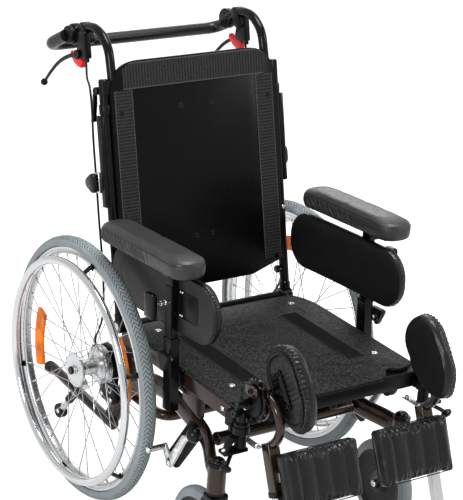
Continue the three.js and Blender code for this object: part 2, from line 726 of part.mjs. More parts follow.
const frontBox = { halfLong: 250, rearY: railFrontY - seatGap, deep: 30, lowZ: 385, highZ: 420, corner: 4 };
const receiver = { radius: 18, lowZ: 385, highZ: 400 };
const hangerRadius = 11;
const tongue = { halfWide: 20, rearY: -320, lowZ: 404, highZ: railTopZ - 3 };
const hangEye = { drop: 18, width: 10 };
const tiltSpringHead = { y: -450, z: tongue.lowZ - hangEye.drop };
const reclineSpringFoot = { y: -335, z: tongue.lowZ - hangEye.drop };

function hungEars(foot, topZ, earX, earThick, pinRadius) {
  const ear = link([foot.y, foot.z], hangEye.width, [foot.y, topZ], hangEye.width + earThick);
  const pair = join(plateX(ear, earX, earX + earThick), plateX(ear, -earX - earThick, -earX));
  return join(pair, barX(-earX - earThick, earX + earThick, foot, pinRadius, pinFacets));
}

function seatFrontTube() {
  const { halfLong, rearY, deep, lowZ, highZ, corner } = frontBox;
  const boxTube = plateX(rectangle(rearY - deep, lowZ, rearY, highZ, corner), -halfLong, halfLong);
  const spine = plateY(
    rectangle(-tongue.halfWide, tongue.lowZ, tongue.halfWide, tongue.highZ, corner),
    rearY - deep / 2,
    tongue.rearY,
  );
  const { earX, earThick, pinRadius } = springFoot;
  const tiltEars = hungEars(tiltSpringHead, tongue.lowZ, earX, earThick, pinRadius);
  const reclineEars = hungEars(reclineSpringFoot, tongue.lowZ, earX, earThick, pinRadius);
  let whole = join(boxTube, spine, tiltEars, reclineEars);
  for (const way of [1, -1]) {
    const x = way * hangerPost.x;
    const lug = bar([x, hangerPost.y, receiver.lowZ], [x, hangerPost.y, receiver.highZ], receiver.radius);
    const web = block([x - receiver.radius, rearY - deep, receiver.lowZ], [x + receiver.radius, hangerPost.y, receiver.highZ]);
    const postHole = bore([x, hangerPost.y, receiver.lowZ], [x, hangerPost.y, receiver.highZ], hangerRadius);
    whole = cut(join(whole, lug, web), postHole);
  }
  return whole;
}
placeOne("seat_front_tube", seatFrontTube(), mattBlack);

const seatRearTube = { y: -130, z: 408, radius: 10 };
const seatRearHalf = railX - railHalfWide - 2 * seatGap;
placeOne("seat_rear_tube", barX(-seatRearHalf, seatRearHalf, seatRearTube, seatRearTube.radius), mattBlack);

// Seat board: broad rounded rear corners, and a front edge with two wave cut-outs
const seatBoard = {
  halfWide: 238, rearY: -85, rearCornerX: 190, rearCornerY: -190, frontCornerY: -500,
  lipY: -555, lipX: 150, notchX: 168, notchY: -517, shoulderX: 182, shoulderY: -537, tipX: 216, tipY: -524,
};
const seatSlot = { x: 181, rearY: -120, frontY: -446, halfWide: 4, halfLong: 12, corner: 0 };
function seatPlate() {
  const b = seatBoard;
  const shape = new THREE.Shape();
  shape.moveTo(-b.rearCornerX, b.rearY);
  shape.lineTo(b.rearCornerX, b.rearY);
  shape.quadraticCurveTo(b.halfWide, b.rearY, b.halfWide, b.rearCornerY);
  shape.lineTo(b.halfWide, b.frontCornerY);
  shape.quadraticCurveTo(b.halfWide, b.tipY, b.tipX, b.tipY);
  shape.bezierCurveTo(b.shoulderX, b.shoulderY, b.shoulderX, b.notchY, b.notchX, b.notchY);
  shape.bezierCurveTo(b.lipX, b.notchY, b.lipX, b.lipY, b.lipX - b.tipX / 6, b.lipY);
  shape.lineTo(b.tipX / 6 - b.lipX, b.lipY);
  shape.bezierCurveTo(-b.lipX, b.lipY, -b.lipX, b.notchY, -b.notchX, b.notchY);
  shape.bezierCurveTo(-b.shoulderX, b.notchY, -b.shoulderX, b.shoulderY, -b.tipX, b.tipY);
  shape.quadraticCurveTo(-b.halfWide, b.tipY, -b.halfWide, b.frontCornerY);
  shape.lineTo(-b.halfWide, b.rearCornerY);
  shape.quadraticCurveTo(-b.halfWide, b.rearY, -b.rearCornerX, b.rearY);
  let plate = plateZ(shape, seatTopZ - seatBoardThick, seatTopZ);
  for (const x of [seatSlot.x, -seatSlot.x]) {
    for (const y of [seatSlot.rearY, seatSlot.frontY]) {
      const outline = rectangle(
        x - seatSlot.halfLong, y - seatSlot.halfWide, x + seatSlot.halfLong, y + seatSlot.halfWide, seatSlot.corner,
      );
      plate = cut(plate, plateZ(outline, seatTopZ - seatBoardThick - overrun, seatTopZ + overrun));
    }
  }
  return plate;
}
placeOne("seat_plate", seatPlate(), board);

// Gas springs: a bored cylinder with an eye at its foot, and a rod whose eye sits at the far pin
const gas = { cylinderRadius: 13, rodRadius: 4.5, eyeRadius: 9, eyeHalf: 7, eyeNeck: 20, shoulder: 4, headPlay: 2.2 };
function gasSpring(foot, head, { cylinderLong, rodFrom, holeFrom }) {
  const span = Math.hypot(head.y - foot.y, head.z - foot.z);
  const rodHole = (gas.rodRadius + boreGap) / Math.cos(Math.PI / roundFacets);
  const profile = [
    [0, gas.eyeRadius / 2], [gas.eyeHalf, gas.eyeRadius / 2], [gas.eyeHalf, gas.eyeNeck - gas.shoulder],
    [gas.cylinderRadius, gas.eyeNeck],
    [gas.cylinderRadius, cylinderLong], [rodHole, cylinderLong], [rodHole, holeFrom],
    [0, holeFrom],
  ];
  const lathe = new THREE.LatheGeometry(profile.map(([radius, along]) => new THREE.Vector2(radius, along)), roundFacets);
  const eye = (y) => barX(-gas.eyeHalf, gas.eyeHalf, { y, z: 0 }, gas.eyeRadius);
  const hole = (y, play) => boreX(-gas.eyeHalf, gas.eyeHalf, { y, z: 0 }, springFoot.pinRadius + play);
  const cylinder = cut(join(solid(lathe), eye(0)), hole(0, 0));
  const rodBar = bar([0, rodFrom, 0], [0, span, 0], gas.rodRadius, pinFacets);
  const rod = cut(join(rodBar, eye(span)), hole(span, gas.headPlay));
  const heading = Math.atan2(head.z - foot.z, head.y - foot.y);
  const pose = new THREE.Matrix4().makeTranslation(0, foot.y, foot.z);
  pose.multiply(new THREE.Matrix4().makeRotationX(heading));
  return { cylinder, rod, pose };
}
const leverDrop = 45;
const leverFoot = { y: 0, z: -leverDrop };
const leverPin = new THREE.Vector3(0, leverFoot.y, leverFoot.z).applyMatrix4(backPose);
const tiltGas = { cylinderLong: 200, rodFrom: 116, holeFrom: 112 };
const reclineGas = { cylinderLong: 165, rodFrom: 100, holeFrom: 70 };
const tiltSpring = gasSpring(tiltSpringFoot, tiltSpringHead, tiltGas);
const reclineSpring = gasSpring(reclineSpringFoot, { y: leverPin.y, z: leverPin.z }, reclineGas);
placeOne("tilt_spring_cylinder", tiltSpring.cylinder, glossBlack, tiltSpring.pose);
placeOne("tilt_spring_rod", tiltSpring.rod, silver, tiltSpring.pose);
placeOne("recline_spring_cylinder", reclineSpring.cylinder, glossBlack, reclineSpring.pose);
placeOne("recline_spring_rod", reclineSpring.rod, silver, reclineSpring.pose);

// Back frame, in its own leaning frame: z runs up the canes, y runs behind them
const cane = { footZ: 12, topZ: 554, lugRadius: 16 };
const lugX = { inner: cheek.innerX + cheek.thick + seatGap, outer: 236 };
const handleClamp = { lowZ: 520, highZ: 552, frontY: -11.5, rearY: 15, innerX: handleX - handleRadius - 6 };
const sideRail = { lowZ: 272, highZ: 477, halfDeep: 9, thick: 9 };
const knobStud = { z: 62, radius: 9, long: 14 };
function backCane() {
  const tube = bar([caneX, 0, cane.footZ], [caneX, 0, cane.topZ], caneRadius);
  const lug = barX(lugX.inner, lugX.outer, { y: 0, z: 0 }, cane.lugRadius);
  const clamp = block(
    [handleClamp.innerX, handleClamp.frontY, handleClamp.lowZ],
    [caneX, handleClamp.rearY, handleClamp.highZ],
  );
  const rail = block(
    [caneX, -sideRail.halfDeep, sideRail.lowZ],
    [caneX + caneRadius + sideRail.thick, sideRail.halfDeep, sideRail.highZ],
  );
  const knob = bar(
    [caneX, 0, knobStud.z],
    [caneX - caneRadius - knobStud.long, 0, knobStud.z],
    knobStud.radius,
    pinFacets,
  );
  const handleHole = bore([handleX, 0, handleClamp.lowZ], [handleX, 0, handleClamp.highZ], handleRadius);
  const pinHole = boreX(lugX.inner, lugX.outer, { y: 0, z: 0 }, pivotRadius);
  return cut(join(tube, lug, clamp, rail, knob), handleHole, pinHole);
}
placePair("back_cane", backCane(), glossBlack, backPose);

// The pivot tube turns in the cheeks, carries the canes on its spigots and works the recline spring by a lever
const pivotTube = { radius: 9, half: cheek.innerX - seatGap, spigotEnd: lugX.outer + 4, leverX: 9, leverThick: 5 };
function backCrossbar() {
  const centre = { y: 0, z: 0 };
  const tube = barX(-pivotTube.half, pivotTube.half, centre, pivotTube.radius);
  const spigot = barX(-pivotTube.spigotEnd, pivotTube.spigotEnd, centre, pivotRadius, pinFacets);
  const headFrom = lugX.outer + seatGap;
  const heads = [1, -1].map((way) => {
    const ends = [way * headFrom, way * pivotTube.spigotEnd];
    return barX(Math.min(...ends), Math.max(...ends), centre, pinHead.radius, pinFacets);
  });
  const leverOutline = link([0, 0], pivotTube.radius + 3, [leverFoot.y, leverFoot.z], hangEye.width);
  const { leverX, leverThick } = pivotTube;
  const lever = join(plateX(leverOutline, leverX, leverX + leverThick), plateX(leverOutline, -leverX - leverThick, -leverX));
  const pin = barX(-leverX - leverThick, leverX + leverThick, leverFoot, springFoot.pinRadius, pinFacets);
  return join(tube, spigot, ...heads, lever, pin);
}
placeOne("back_crossbar", backCrossbar(), mattBlack, backPose);

// Back shell: a thin panel with a turned rear flange down both sides, a cross fold and four cane clips
const shell = {
  frontY: -16.6, thick: 4.7, halfWide: 219, topZ: 591, topCorner: 75, sideLowZ: 92, lowZ: 64, lowX: 127,
  foldY: -13.1, foldZ: 294, foldRadius: 5, flangeDeep: 7, flangeWide: 5,
};
const clip = { lowZ: 130, highZ: 395, high: 30, innerX: 196, rearY: 9 };
const headBracket = { halfWide: 55, lowZ: 462, highZ: 502, thick: 5, blockHalf: 20, blockDeep: 26 };
const lowBracket = { halfWide: 35, lowZ: 165, highZ: 192 };
function backPanel() {
  const s = shell;
  const rearY = s.frontY + s.thick;
  const outline = (inset) => rounded([
    [-s.halfWide + inset, s.topZ - inset, s.topCorner - inset],
    [-s.halfWide + inset, s.sideLowZ, s.flangeWide],
    [-s.lowX, s.lowZ + inset, s.topCorner],
    [s.lowX, s.lowZ + inset, s.topCorner],
    [s.halfWide - inset, s.sideLowZ, s.flangeWide],
    [s.halfWide - inset, s.topZ - inset, s.topCorner - inset],
  ], 0);
  const face = plateY(outline(0), s.frontY, rearY);
  const hollow = plateY(outline(s.flangeWide), rearY, rearY + s.flangeDeep + overrun);
  const caneRoom = 2 * caneRadius + s.flangeWide;
  const flangeBand = plateY(outline(0), rearY - seatGap, rearY + s.flangeDeep);
  const besideCanes = block(
    [-handleX + caneRoom / 2, rearY - overrun, 0],
    [handleX - caneRoom / 2, rearY + s.flangeDeep + overrun, s.topZ + overrun],
  );
  const flange = cut(flangeBand, hollow).intersect(besideCanes);
  const foldHalf = s.halfWide - s.flangeWide;
  const fold = barX(-foldHalf, foldHalf, { y: s.foldY, z: s.foldZ }, s.foldRadius, tubeFacets);
  const clipX = caneX - caneRadius - seatGap;
  const clips = [clip.lowZ, clip.highZ].flatMap((z) => [1, -1].map((way) => block(
    [way * clip.innerX, rearY - seatGap, z],
    [way * clipX, clip.rearY, z + clip.high],
  )));
  const headPlate = block(
    [-headBracket.halfWide, rearY - seatGap, headBracket.lowZ],
    [headBracket.halfWide, rearY + headBracket.thick, headBracket.highZ],
  );
  const headBlock = block(
    [-headBracket.blockHalf, rearY - seatGap, headBracket.lowZ],
    [headBracket.blockHalf, rearY + headBracket.blockDeep, headBracket.highZ],
  );
  const lowPlate = block(
    [-lowBracket.halfWide, rearY - seatGap, lowBracket.lowZ],
    [lowBracket.halfWide, rearY + headBracket.thick, lowBracket.highZ],
  );
  return join(face, flange, fold, ...clips, headPlate, headBlock, lowPlate);
}
placeOne("back_panel", backPanel(), board, backPose);

// Push handles slide in the cane clamps, curl back over the top and end in a toothed joint
const handleLine = [[0, 457], [0, 575], [9, 625], [46, 660], [100, 665], [147.7, 649.4]];
const handleSteps = 9;
const joint = { y: 147.7, z: 649.4, radius: 24, innerX: 196, faceX: handleX + handleRadius + seatGap };
const barJoint = { radius: 22, faceX: 240 };
const leverPivot = { y: 112.5, z: 606 };
const leverHousing = {
  frontY: 78, rearY: 104, footZ: 596, topZ: 658, noseY: 120, noseLowZ: 600, noseHighZ: 614, corner: 5,
  innerX: 205, outerX: 222,
};
const leverAxleX = 229;
function pushHandle() {
  const curve = new THREE.CatmullRomCurve3(handleLine.map(([y, z]) => new THREE.Vector3(handleX, y, z)));
  curve.steps = handleSteps;
  const tube = tubeAlong(curve, ovalSection(handleRadius, handleRadius, tubeFacets));
  const disc = barX(joint.innerX, joint.faceX, joint, joint.radius);
  const h = leverHousing;
  const housing = plateX(
    rounded([
      [h.frontY, h.topZ],
      [h.frontY, h.footZ],
      [h.rearY, h.footZ],
      [h.noseY, h.noseLowZ],
      [h.noseY, h.noseHighZ],
      [h.rearY, h.topZ],
    ], h.corner),
    h.innerX,
    h.outerX,
  );
  const pin = barX(h.outerX - overrun, leverAxleX, leverPivot, springFoot.pinRadius, pinFacets);
  return join(tube, disc, housing, pin);
}
placePair("push_handle", pushHandle(), glossBlack, backPose);

// Push bar: one foam-covered bow between the joints
const pushBow = { y: 232.6, z: 623.7, x: 235, radius: 14, bend: 36, discX: joint.faceX + seatGap };
function pushBar() {
  const armX = (barJoint.faceX + pushBow.discX) / 2;
  const bow = roundTube(
    [
      [-armX, joint.y + joint.radius / 2, joint.z - joint.radius / 6],
      [-pushBow.x, pushBow.y, pushBow.z],
      [pushBow.x, pushBow.y, pushBow.z],
      [armX, joint.y + joint.radius / 2, joint.z - joint.radius / 6],
    ],
    pushBow.radius,
    pushBow.bend,
    3,
  );
  const discs = [
    barX(pushBow.discX, barJoint.faceX, joint, barJoint.radius),
    barX(-barJoint.faceX, -pushBow.discX, joint, barJoint.radius),
  ];
  return cut(
    join(bow, ...discs),
    block(
      [-pushBow.discX, joint.y - joint.radius, joint.z - joint.radius],
      [pushBow.discX, joint.y + joint.radius + seatGap, joint.z + joint.radius],
    ),
  );
}
placeOne("push_bar", pushBar(), grip, backPose);

// Brake levers: a flat blade that swells to a ball end
const blade = { endY: 278, endZ: 536.7, ballRadius: 8.5, hubRadius: 11, waistRadius: 6, neckRadius: 5, thick: 6 };
const bladeInnerX = leverHousing.outerX + seatGap;
function brakeLever() {
  const bow = { y: (leverPivot.y + blade.endY) / 2, z: (leverPivot.z + blade.endZ) / 2 - blade.ballRadius };
  const x1 = bladeInnerX + blade.thick;
  const waist = [bow.y, bow.z];
  const near = link([leverPivot.y, leverPivot.z], blade.hubRadius, waist, blade.waistRadius);
  const far = link(waist, blade.waistRadius, [blade.endY, blade.endZ], blade.neckRadius);
  const flat = join(plateX(near, bladeInnerX, x1), plateX(far, bladeInnerX, x1));
  const end = ball(bladeInnerX + blade.thick / 2, blade.endY, blade.endZ, blade.ballRadius);
  return cut(join(flat, end), boreX(bladeInnerX, x1, leverPivot, springFoot.pinRadius));
}
placePair("brake_lever", brakeLever(), mattBlack, backPose);

// Brake cables: from the lever housing down behind the cane, past the pivots and in to the hub drum
const cable = { radius: 2.6, steps: 16 };
const cableRoute = [
  [214, 175.7, 975.2], [216.5, 168, 954.5], [230, 140, 942], [240, 111, 933], [246, 92, 912], [247, 83, 880],
  [243, 80, 820], [243, 62, 740], [243, 40, 640], [243, 16, 540], [245, 2, 460], [244, 6, 418],
  [238, 30, 376], [231, 53, 348], [230, 56, 326.7],
];
function brakeCable() {
  const curve = new THREE.CatmullRomCurve3(cableRoute.map((point) => new THREE.Vector3(...point)), false, "centripetal");
  curve.steps = cable.steps;
  return tubeAlong(curve, ovalSection(cable.radius, cable.radius, pinFacets));
}
placePair("brake_cable", brakeCable(), plastic);

// Arm rests, in their own leaning frame: z runs up the post, y runs to the rear
const socket = { halfWide: 11, halfDeep: 15, lowZ: -50, highZ: 115, wall: 2.4 };
const post = { innerX: -8, outerX: 9, halfDeep: 12, topZ: 264, lowZ: -46 };
const socketStud = { y: -14.5, z: 71, radius: 6, long: 9 };
const starKnob = { radius: 25, thick: 16, lobes: 3, swell: 3 };
const padPlate = { x0: -8, x1: 34, frontY: -70, rearY: 190, thick: 5, topZ: 273.6 };
const blockKnob = { y: -8.6, z: 200, screw: 4.5, x0: 52, x1: 67, halfDeep: 17, halfHigh: 27.5, corner: 6 };

function knobOutline(y, z, radius, lobes, swell) {
  const shape = new THREE.Shape();
  const points = [];
  const steps = 6 * lobes;
  for (let i = 0; i < steps; i += 1) {
    const angle = (fullTurn * i) / steps + Math.PI / 2;
    const reach = radius - swell + swell * Math.cos(lobes * (angle - Math.PI / 2));
    points.push(new THREE.Vector2(y + reach * Math.cos(angle), z + reach * Math.sin(angle)));
  }
  return shape.setFromPoints(points);
}

function armSocket() {
  const { halfWide, halfDeep, lowZ, highZ, wall } = socket;
  const sleeve = plateZ(rectangle(-halfWide, -halfDeep, halfWide, halfDeep, wall), lowZ, highZ);
  const hole = plateZ(
    rectangle(post.innerX - boreGap, -post.halfDeep - boreGap, post.outerX + boreGap, post.halfDeep + boreGap, 0),
    lowZ - overrun,
    highZ + overrun,
  );
  const railFace = railX + railHalfWide + seatGap - armFoot.x;
  const foot = block([railFace, -halfDeep - wall, 2 * wall], [-halfWide + wall / 2, halfDeep + wall, railHigh - wall]);
  const stud = barX(halfWide - wall / 2, halfWide + socketStud.long, socketStud, socketStud.radius, pinFacets);
  const knob = plateX(
    knobOutline(socketStud.y, socketStud.z, starKnob.radius, starKnob.lobes, starKnob.swell),
    halfWide + socketStud.long - seatGap,
    halfWide + socketStud.long + starKnob.thick,
  );
  return join(cut(join(sleeve, foot), hole), stud, knob);
}

function armPost() {
  const tube = block([post.innerX, -post.halfDeep, post.lowZ], [post.outerX, post.halfDeep, post.topZ]);
  const plate = block(
    [padPlate.x0, padPlate.frontY, padPlate.topZ - padPlate.thick],
    [padPlate.x1, padPlate.rearY, padPlate.topZ],
  );
  const neck = block([post.innerX, -post.halfDeep, post.topZ - overrun], [post.outerX, post.halfDeep, padPlate.topZ]);
  const screw = barX(post.outerX - overrun, blockKnob.x1 - seatGap, blockKnob, blockKnob.screw, pinFacets);
  const knob = plateX(
    rectangle(
      blockKnob.y - blockKnob.halfDeep, blockKnob.z - blockKnob.halfHigh,
      blockKnob.y + blockKnob.halfDeep, blockKnob.z + blockKnob.halfHigh, blockKnob.corner,
    ),
    blockKnob.x0,
    blockKnob.x1,
  );
  return join(tube, neck, plate, screw, knob);
}

// Arm pad: full-round ends, sides that bulge under the seam and a crowned top
const armPadForm = { halfLong: 170, halfWide: 40, corner: 38, perCorner: 4, x: 12, y: 66, z: 274 };
function armPad() {
  const layers = [
    { inset: 5, rise: 0 }, { inset: 0, rise: 6 }, { inset: 0, rise: 19 }, { inset: 5, rise: 29 },
    { inset: 16, rise: 36 }, { inset: 32, rise: 38.5 },
  ];
  const geometry = layered(armPadForm, layers).rotateZ(Math.PI / 2);
  return solid(geometry.translate(armPadForm.x, armPadForm.y, armPadForm.z));
}

// Side pad: a flat board outside and a cushioned face towards the sitter
const sidePadForm = { halfLong: 209, halfWide: 64, corner: 62, perCorner: 4, y: 56.5, z: 192 };
const sidePadThick = 27;
function sidePad() {
  const layers = [
    { inset: 2, rise: 0 }, { inset: 0, rise: 9 }, { inset: 5, rise: 20 }, { inset: 18, rise: 26 },
    { inset: 36, rise: sidePadThick },
  ];
  const toSitter = new THREE.Matrix4().makeBasis(
    new THREE.Vector3(0, 1, 0),
    new THREE.Vector3(0, 0, -1),
    new THREE.Vector3(-1, 0, 0),
  );
  const geometry = layered(sidePadForm, layers).applyMatrix4(toSitter);
  return solid(geometry.translate(post.innerX - seatGap, sidePadForm.y, sidePadForm.z));
}
placePair("arm_socket", armSocket(), glossBlack, armPose);
placePair("arm_post", armPost(), glossBlack, armPose);
placePair("arm_pad", armPad(), leather, armPose);
placePair("side_pad", sidePad(), leather, armPose);

// Leg rest hangers: a post in the seat's receiver, a clamp below, a toothed lift disc and a stay between them
const ratchet = { radius: 46, toothDepth: 4, teeth: 12, outerX: 229, faceX: 219, rodRadius: 7 };
const hanger = {
  lowZ: 352, topZ: 434, collarRadius: 16, collarTopZ: 410, clampTopZ: 377.7,
  crossRadius: 9, crossZ: 432, crossOuterX: 264,
};
const latch = { frontHalf: 9, rearHalf: 7, rearY: -522, lowZ: 434, highZ: 439, corner: 5 };
function toothedOutline({ y, z }, radius, depth, teeth) {
  const points = [];
  for (let i = 0; i < teeth; i += 1) {
    [[0, radius - depth], [0.25, radius], [0.5, radius], [0.75, radius - depth]].forEach(([share, reach]) => {
      const angle = (fullTurn * (i + share)) / teeth;
      points.push(new THREE.Vector2(y + reach * Math.cos(angle), z + reach * Math.sin(angle)));
    });
  }
  return new THREE.Shape(points);
}

function legHanger() {
  const { x, y } = hangerPost;
  const stem = bar([x, y, hanger.lowZ], [x, y, hanger.topZ], hangerRadius);
  const collar = bar([x, y, receiver.highZ + seatGap], [x, y, hanger.collarTopZ], hanger.collarRadius);
  const lowClamp = bar([x, y, hanger.lowZ], [x, y, hanger.clampTopZ], hanger.collarRadius);
  const cross = barX(ratchet.outerX - overrun, hanger.crossOuterX, { y, z: hanger.crossZ }, hanger.crossRadius);
  const disc = plateX(
    toothedOutline(liftPivot, ratchet.radius, ratchet.toothDepth, ratchet.teeth),
    ratchet.faceX,
    ratchet.outerX,
  );
  const latchOutline = rounded([
    [x - latch.frontHalf, y],
    [x + latch.frontHalf, y],
    [x + latch.rearHalf, latch.rearY],
    [x - latch.rearHalf, latch.rearY],
  ], latch.corner);
  const latchTongue = plateZ(latchOutline, latch.lowZ, latch.highZ);
  const rodHole = boreX(ratchet.faceX, ratchet.outerX, liftPivot, ratchet.rodRadius);
  return cut(join(stem, collar, lowClamp, cross, disc, latchTongue), rodHole);
}

// Leg arms: a plain disc on the ratchet, a curved neck and the sleeve that the foot tube slides in
const legSlope = 23 * degree;
const sleeve = { topY: -607, topZ: 372, long: 110, halfWide: 14, halfDeep: 14, wall: 2.6 };
const legNeck = { radius: 10, steps: 7, level: 2 };
const armDisc = { thick: 8, radius: 43, holeRadius: 8 };
const neckLine = [[-567, 474], [-603, 477], [-634, 460], [-646, 428], [-634, 394], [-606, 366]];
const calfPin = { share: 0.62, radius: 5, long: 20 };
const legPose = leaning({ x: footTubeX, y: sleeve.topY, z: sleeve.topZ }, legSlope);
function legArm() {
  const discX = ratchet.faceX - seatGap;
  const disc = barX(discX - armDisc.thick, discX, liftPivot, armDisc.radius, casterFacets);
  const neckX = discX - legNeck.radius;
  const curve = new THREE.CatmullRomCurve3(neckLine.map(([y, z], i) => {
    const share = Math.max(i - legNeck.level, 0) / (neckLine.length - 1 - legNeck.level);
    return new THREE.Vector3(neckX + (footTubeX - neckX) * share, y, z);
  }));
  curve.steps = legNeck.steps;
  const neck = tubeAlong(curve, ovalSection(legNeck.radius, legNeck.radius, tubeFacets));
  const outline = rectangle(-sleeve.halfWide, -sleeve.halfDeep, sleeve.halfWide, sleeve.halfDeep, sleeve.wall);
  const posed = (made) => solid(geometryOf(made).applyMatrix4(legPose));
  const tube = posed(plateZ(outline, -sleeve.long, sleeve.wall));
  const holeHalf = sleeve.halfWide - sleeve.wall;
  const hole = posed(plateZ(rectangle(-holeHalf, -holeHalf, holeHalf, holeHalf, 0), -sleeve.long - overrun, -2 * sleeve.wall));
  const hubHole = boreX(neckX - legNeck.radius, discX, liftPivot, armDisc.holeRadius);
  const stubTop = -sleeve.long * calfPin.share;
  const stubEnd = calfPin.radius - sleeve.halfDeep - calfPin.long;
  const stubLow = stubTop - 2 * calfPin.radius;
  const stubHigh = stubTop + 2 * calfPin.radius;
  const stub = posed(join(
    block([-calfPin.radius, stubEnd, stubLow], [calfPin.radius, -sleeve.halfDeep + sleeve.wall / 2, stubHigh]),
    bar([0, stubEnd, stubLow], [0, stubEnd, stubHigh], calfPin.radius, tubeFacets),
  ));
  const inner = block([footTubeX - sleeve.halfWide, liftPivot.y - ratchet.radius * 2, 0], [discX, 0, axleZ * 2]);
  return cut(join(cut(join(disc, neck.intersect(inner), tube), hole), stub), hubHole);
}

// Foot tubes slide in the sleeves and end in a hinge block for the footplate
const footTube = { lowZ: -285, insetZ: -50 };
const plateHinge = { z: 112, pinRadius: 5, barrelRadius: 10, frontY: -868, headRadius: 8, headThick: 4 };
const foot = { frontY: -900, rearY: -768, innerX: 35, outerX: 186, thick: 9, corner: 24 };
function footTubeSolid() {
  const half = sleeve.halfWide - sleeve.wall - boreGap;
  const posed = (made) => solid(geometryOf(made).applyMatrix4(legPose));
  const tube = posed(plateZ(rectangle(-half, -half, half, half, sleeve.wall), footTube.lowZ, footTube.insetZ));
  const end = new THREE.Vector3(0, 0, footTube.lowZ).applyMatrix4(legPose);
  const beam = block(
    [end.x - half, foot.rearY + seatGap, end.z - half / 2],
    [end.x + half, end.y + half, end.z + half],
  );
  const { z, frontY, headThick, pinRadius, headRadius } = plateHinge;
  const pinAlong = (fromY, toY, radius) => bar([footTubeX, fromY, z], [footTubeX, toY, z], radius, pinFacets);
  const pin = pinAlong(foot.rearY + overrun, frontY - headThick, pinRadius);
  const head = pinAlong(frontY - seatGap, frontY - headThick, headRadius);
  return join(tube, beam, pin, head);
}

function footplate() {
  const { z, frontY, pinRadius, barrelRadius } = plateHinge;
  const [lowZ, highZ] = [z - foot.thick / 2, z + foot.thick / 2];
  const tread = plateZ(rectangle(foot.innerX, foot.frontY, foot.outerX, foot.rearY, foot.corner), lowZ, highZ);
  const web = block([foot.outerX - foot.corner, frontY, lowZ], [footTubeX, foot.rearY - foot.corner, highZ]);
  const barrel = bar([footTubeX, foot.rearY, z], [footTubeX, frontY, z], barrelRadius);
  return cut(join(tread, web, barrel), bore([footTubeX, foot.rearY, z], [footTubeX, frontY, z], pinRadius));
}

// Calf pads: upright channels on the front, a flat back, in the leg's own sloping frame
const calf = { innerX: -178, outerX: 18, topZ: -16, lowZ: -140, deep: 26, channels: 5, swell: 6, edge: 8, edgeDraw: 5 };
const channelPoints = 4;
function calfPad() {
  const points = [];
  const width = calf.outerX - calf.innerX;
  const frontY = -sleeve.halfDeep - calfPin.long - seatGap;
  const steps = calf.channels * channelPoints;
  for (let i = 0; i <= steps; i += 1) {
    const share = i / steps;
    const swell = calf.swell * Math.abs(Math.sin(Math.PI * calf.channels * share));
    const hollow = calf.deep * (1 - Math.sin(Math.PI * share)) / 2;
    points.push([calf.innerX + width * share, -calf.deep - hollow - swell]);
  }
  const ring = [...points, [calf.outerX, 0], [calf.innerX, 0]];
  const levels = [
    { z: calf.lowZ, draw: calf.edge }, { z: calf.lowZ + calf.edge, draw: 0 },
    { z: calf.topZ - calf.edge, draw: 0 }, { z: calf.topZ, draw: calf.edge },
  ];
  const positions = [];
  const index = [];
  const middle = [(calf.innerX + calf.outerX) / 2, -calf.deep / 2];
  levels.forEach(({ z, draw }) => ring.forEach(([x, y]) => {
    const pull = 1 - draw / width;
    const thin = 1 - (draw * calf.edgeDraw) / (calf.edge * calf.deep);
    positions.push(middle[0] + (x - middle[0]) * pull, frontY + middle[1] + (y - middle[1]) * thin, z);
  }));
  const size = ring.length;
  for (let level = 0; level < levels.length - 1; level += 1) {
    for (let i = 0; i < size; i += 1) {
      const [a, b] = [level * size + i, level * size + ((i + 1) % size)];
      index.push(a, b, b + size, a, b + size, a + size);
    }
  }
  const flat = ring.map(([x, y]) => new THREE.Vector2(x, y));
  const last = (levels.length - 1) * size;
  THREE.ShapeUtils.triangulateShape(flat, []).forEach(([a, b, c]) => {
    index.push(c, b, a, last + a, last + b, last + c);
  });
  const geometry = new THREE.BufferGeometry();
  geometry.setAttribute("position", new THREE.Float32BufferAttribute(positions, 3));
  geometry.setIndex(index);
  return solid(geometry);
}

// Knee pads: a moulded back plate on a rod through the ratchet, and a domed cushion towards the knee
const knee = { halfLong: 95, halfWide: 62, corner: 58, perCorner: 4, y: -640, z: 506, outerX: 195, turn: -50 * degree };
const kneeRod = { endX: 268, stayThick: 2.5, bite: 2, stayY: -621, stayZ: 497, stayRadius: 12, eyeRadius: 11 };
function kneePad() {
  const layers = [
    { inset: 6, rise: 0 }, { inset: 0, rise: 8 }, { inset: 2, rise: 24 }, { inset: 14, rise: 35 },
    { inset: 40, rise: 39 },
  ];
  const toSitter = new THREE.Matrix4().makeBasis(
    new THREE.Vector3(0, Math.cos(knee.turn), -Math.sin(knee.turn)),
    new THREE.Vector3(0, -Math.sin(knee.turn), -Math.cos(knee.turn)),
    new THREE.Vector3(-1, 0, 0),
  );
  const cushion = solid(layered(knee, layers).applyMatrix4(toSitter).translate(knee.outerX, knee.y, knee.z));
  const stay = plateX(
    link([liftPivot.y, liftPivot.z], kneeRod.eyeRadius, [kneeRod.stayY, kneeRod.stayZ], kneeRod.stayRadius),
    knee.outerX - kneeRod.bite,
    knee.outerX + kneeRod.stayThick,
  );
  const rod = barX(knee.outerX - kneeRod.bite, kneeRod.endX, liftPivot, ratchet.rodRadius, pinFacets);
  return join(cushion, stay, rod);
}
placePair("leg_hanger", legHanger(), glossBlack);
placePair("leg_arm", legArm(), bronze);
placePair("foot_tube", footTubeSolid(), silver);
placePair("footplate", footplate(), plastic);
placePair("calf_pad", calfPad(), leather, legPose);
placePair("knee_pad", kneePad(), leather);

// The origin lies on the floor in the middle of the chair's length
const reach = new THREE.Box3().setFromObject(chair);
chair.position.y = -(reach.min.y + reach.max.y) / 2;

export default chair;
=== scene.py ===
"""Looks of a tilt in space wheelchair: smooth metalwork, laced wheels, leather pads and a studio.

Sizes are millimetres in the axle frame: X to the sitter's left, -Y the way the sitter faces, Z up from
the floor, and Y = 0 on the drive wheels' axle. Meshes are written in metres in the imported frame.
"""

from __future__ import annotations

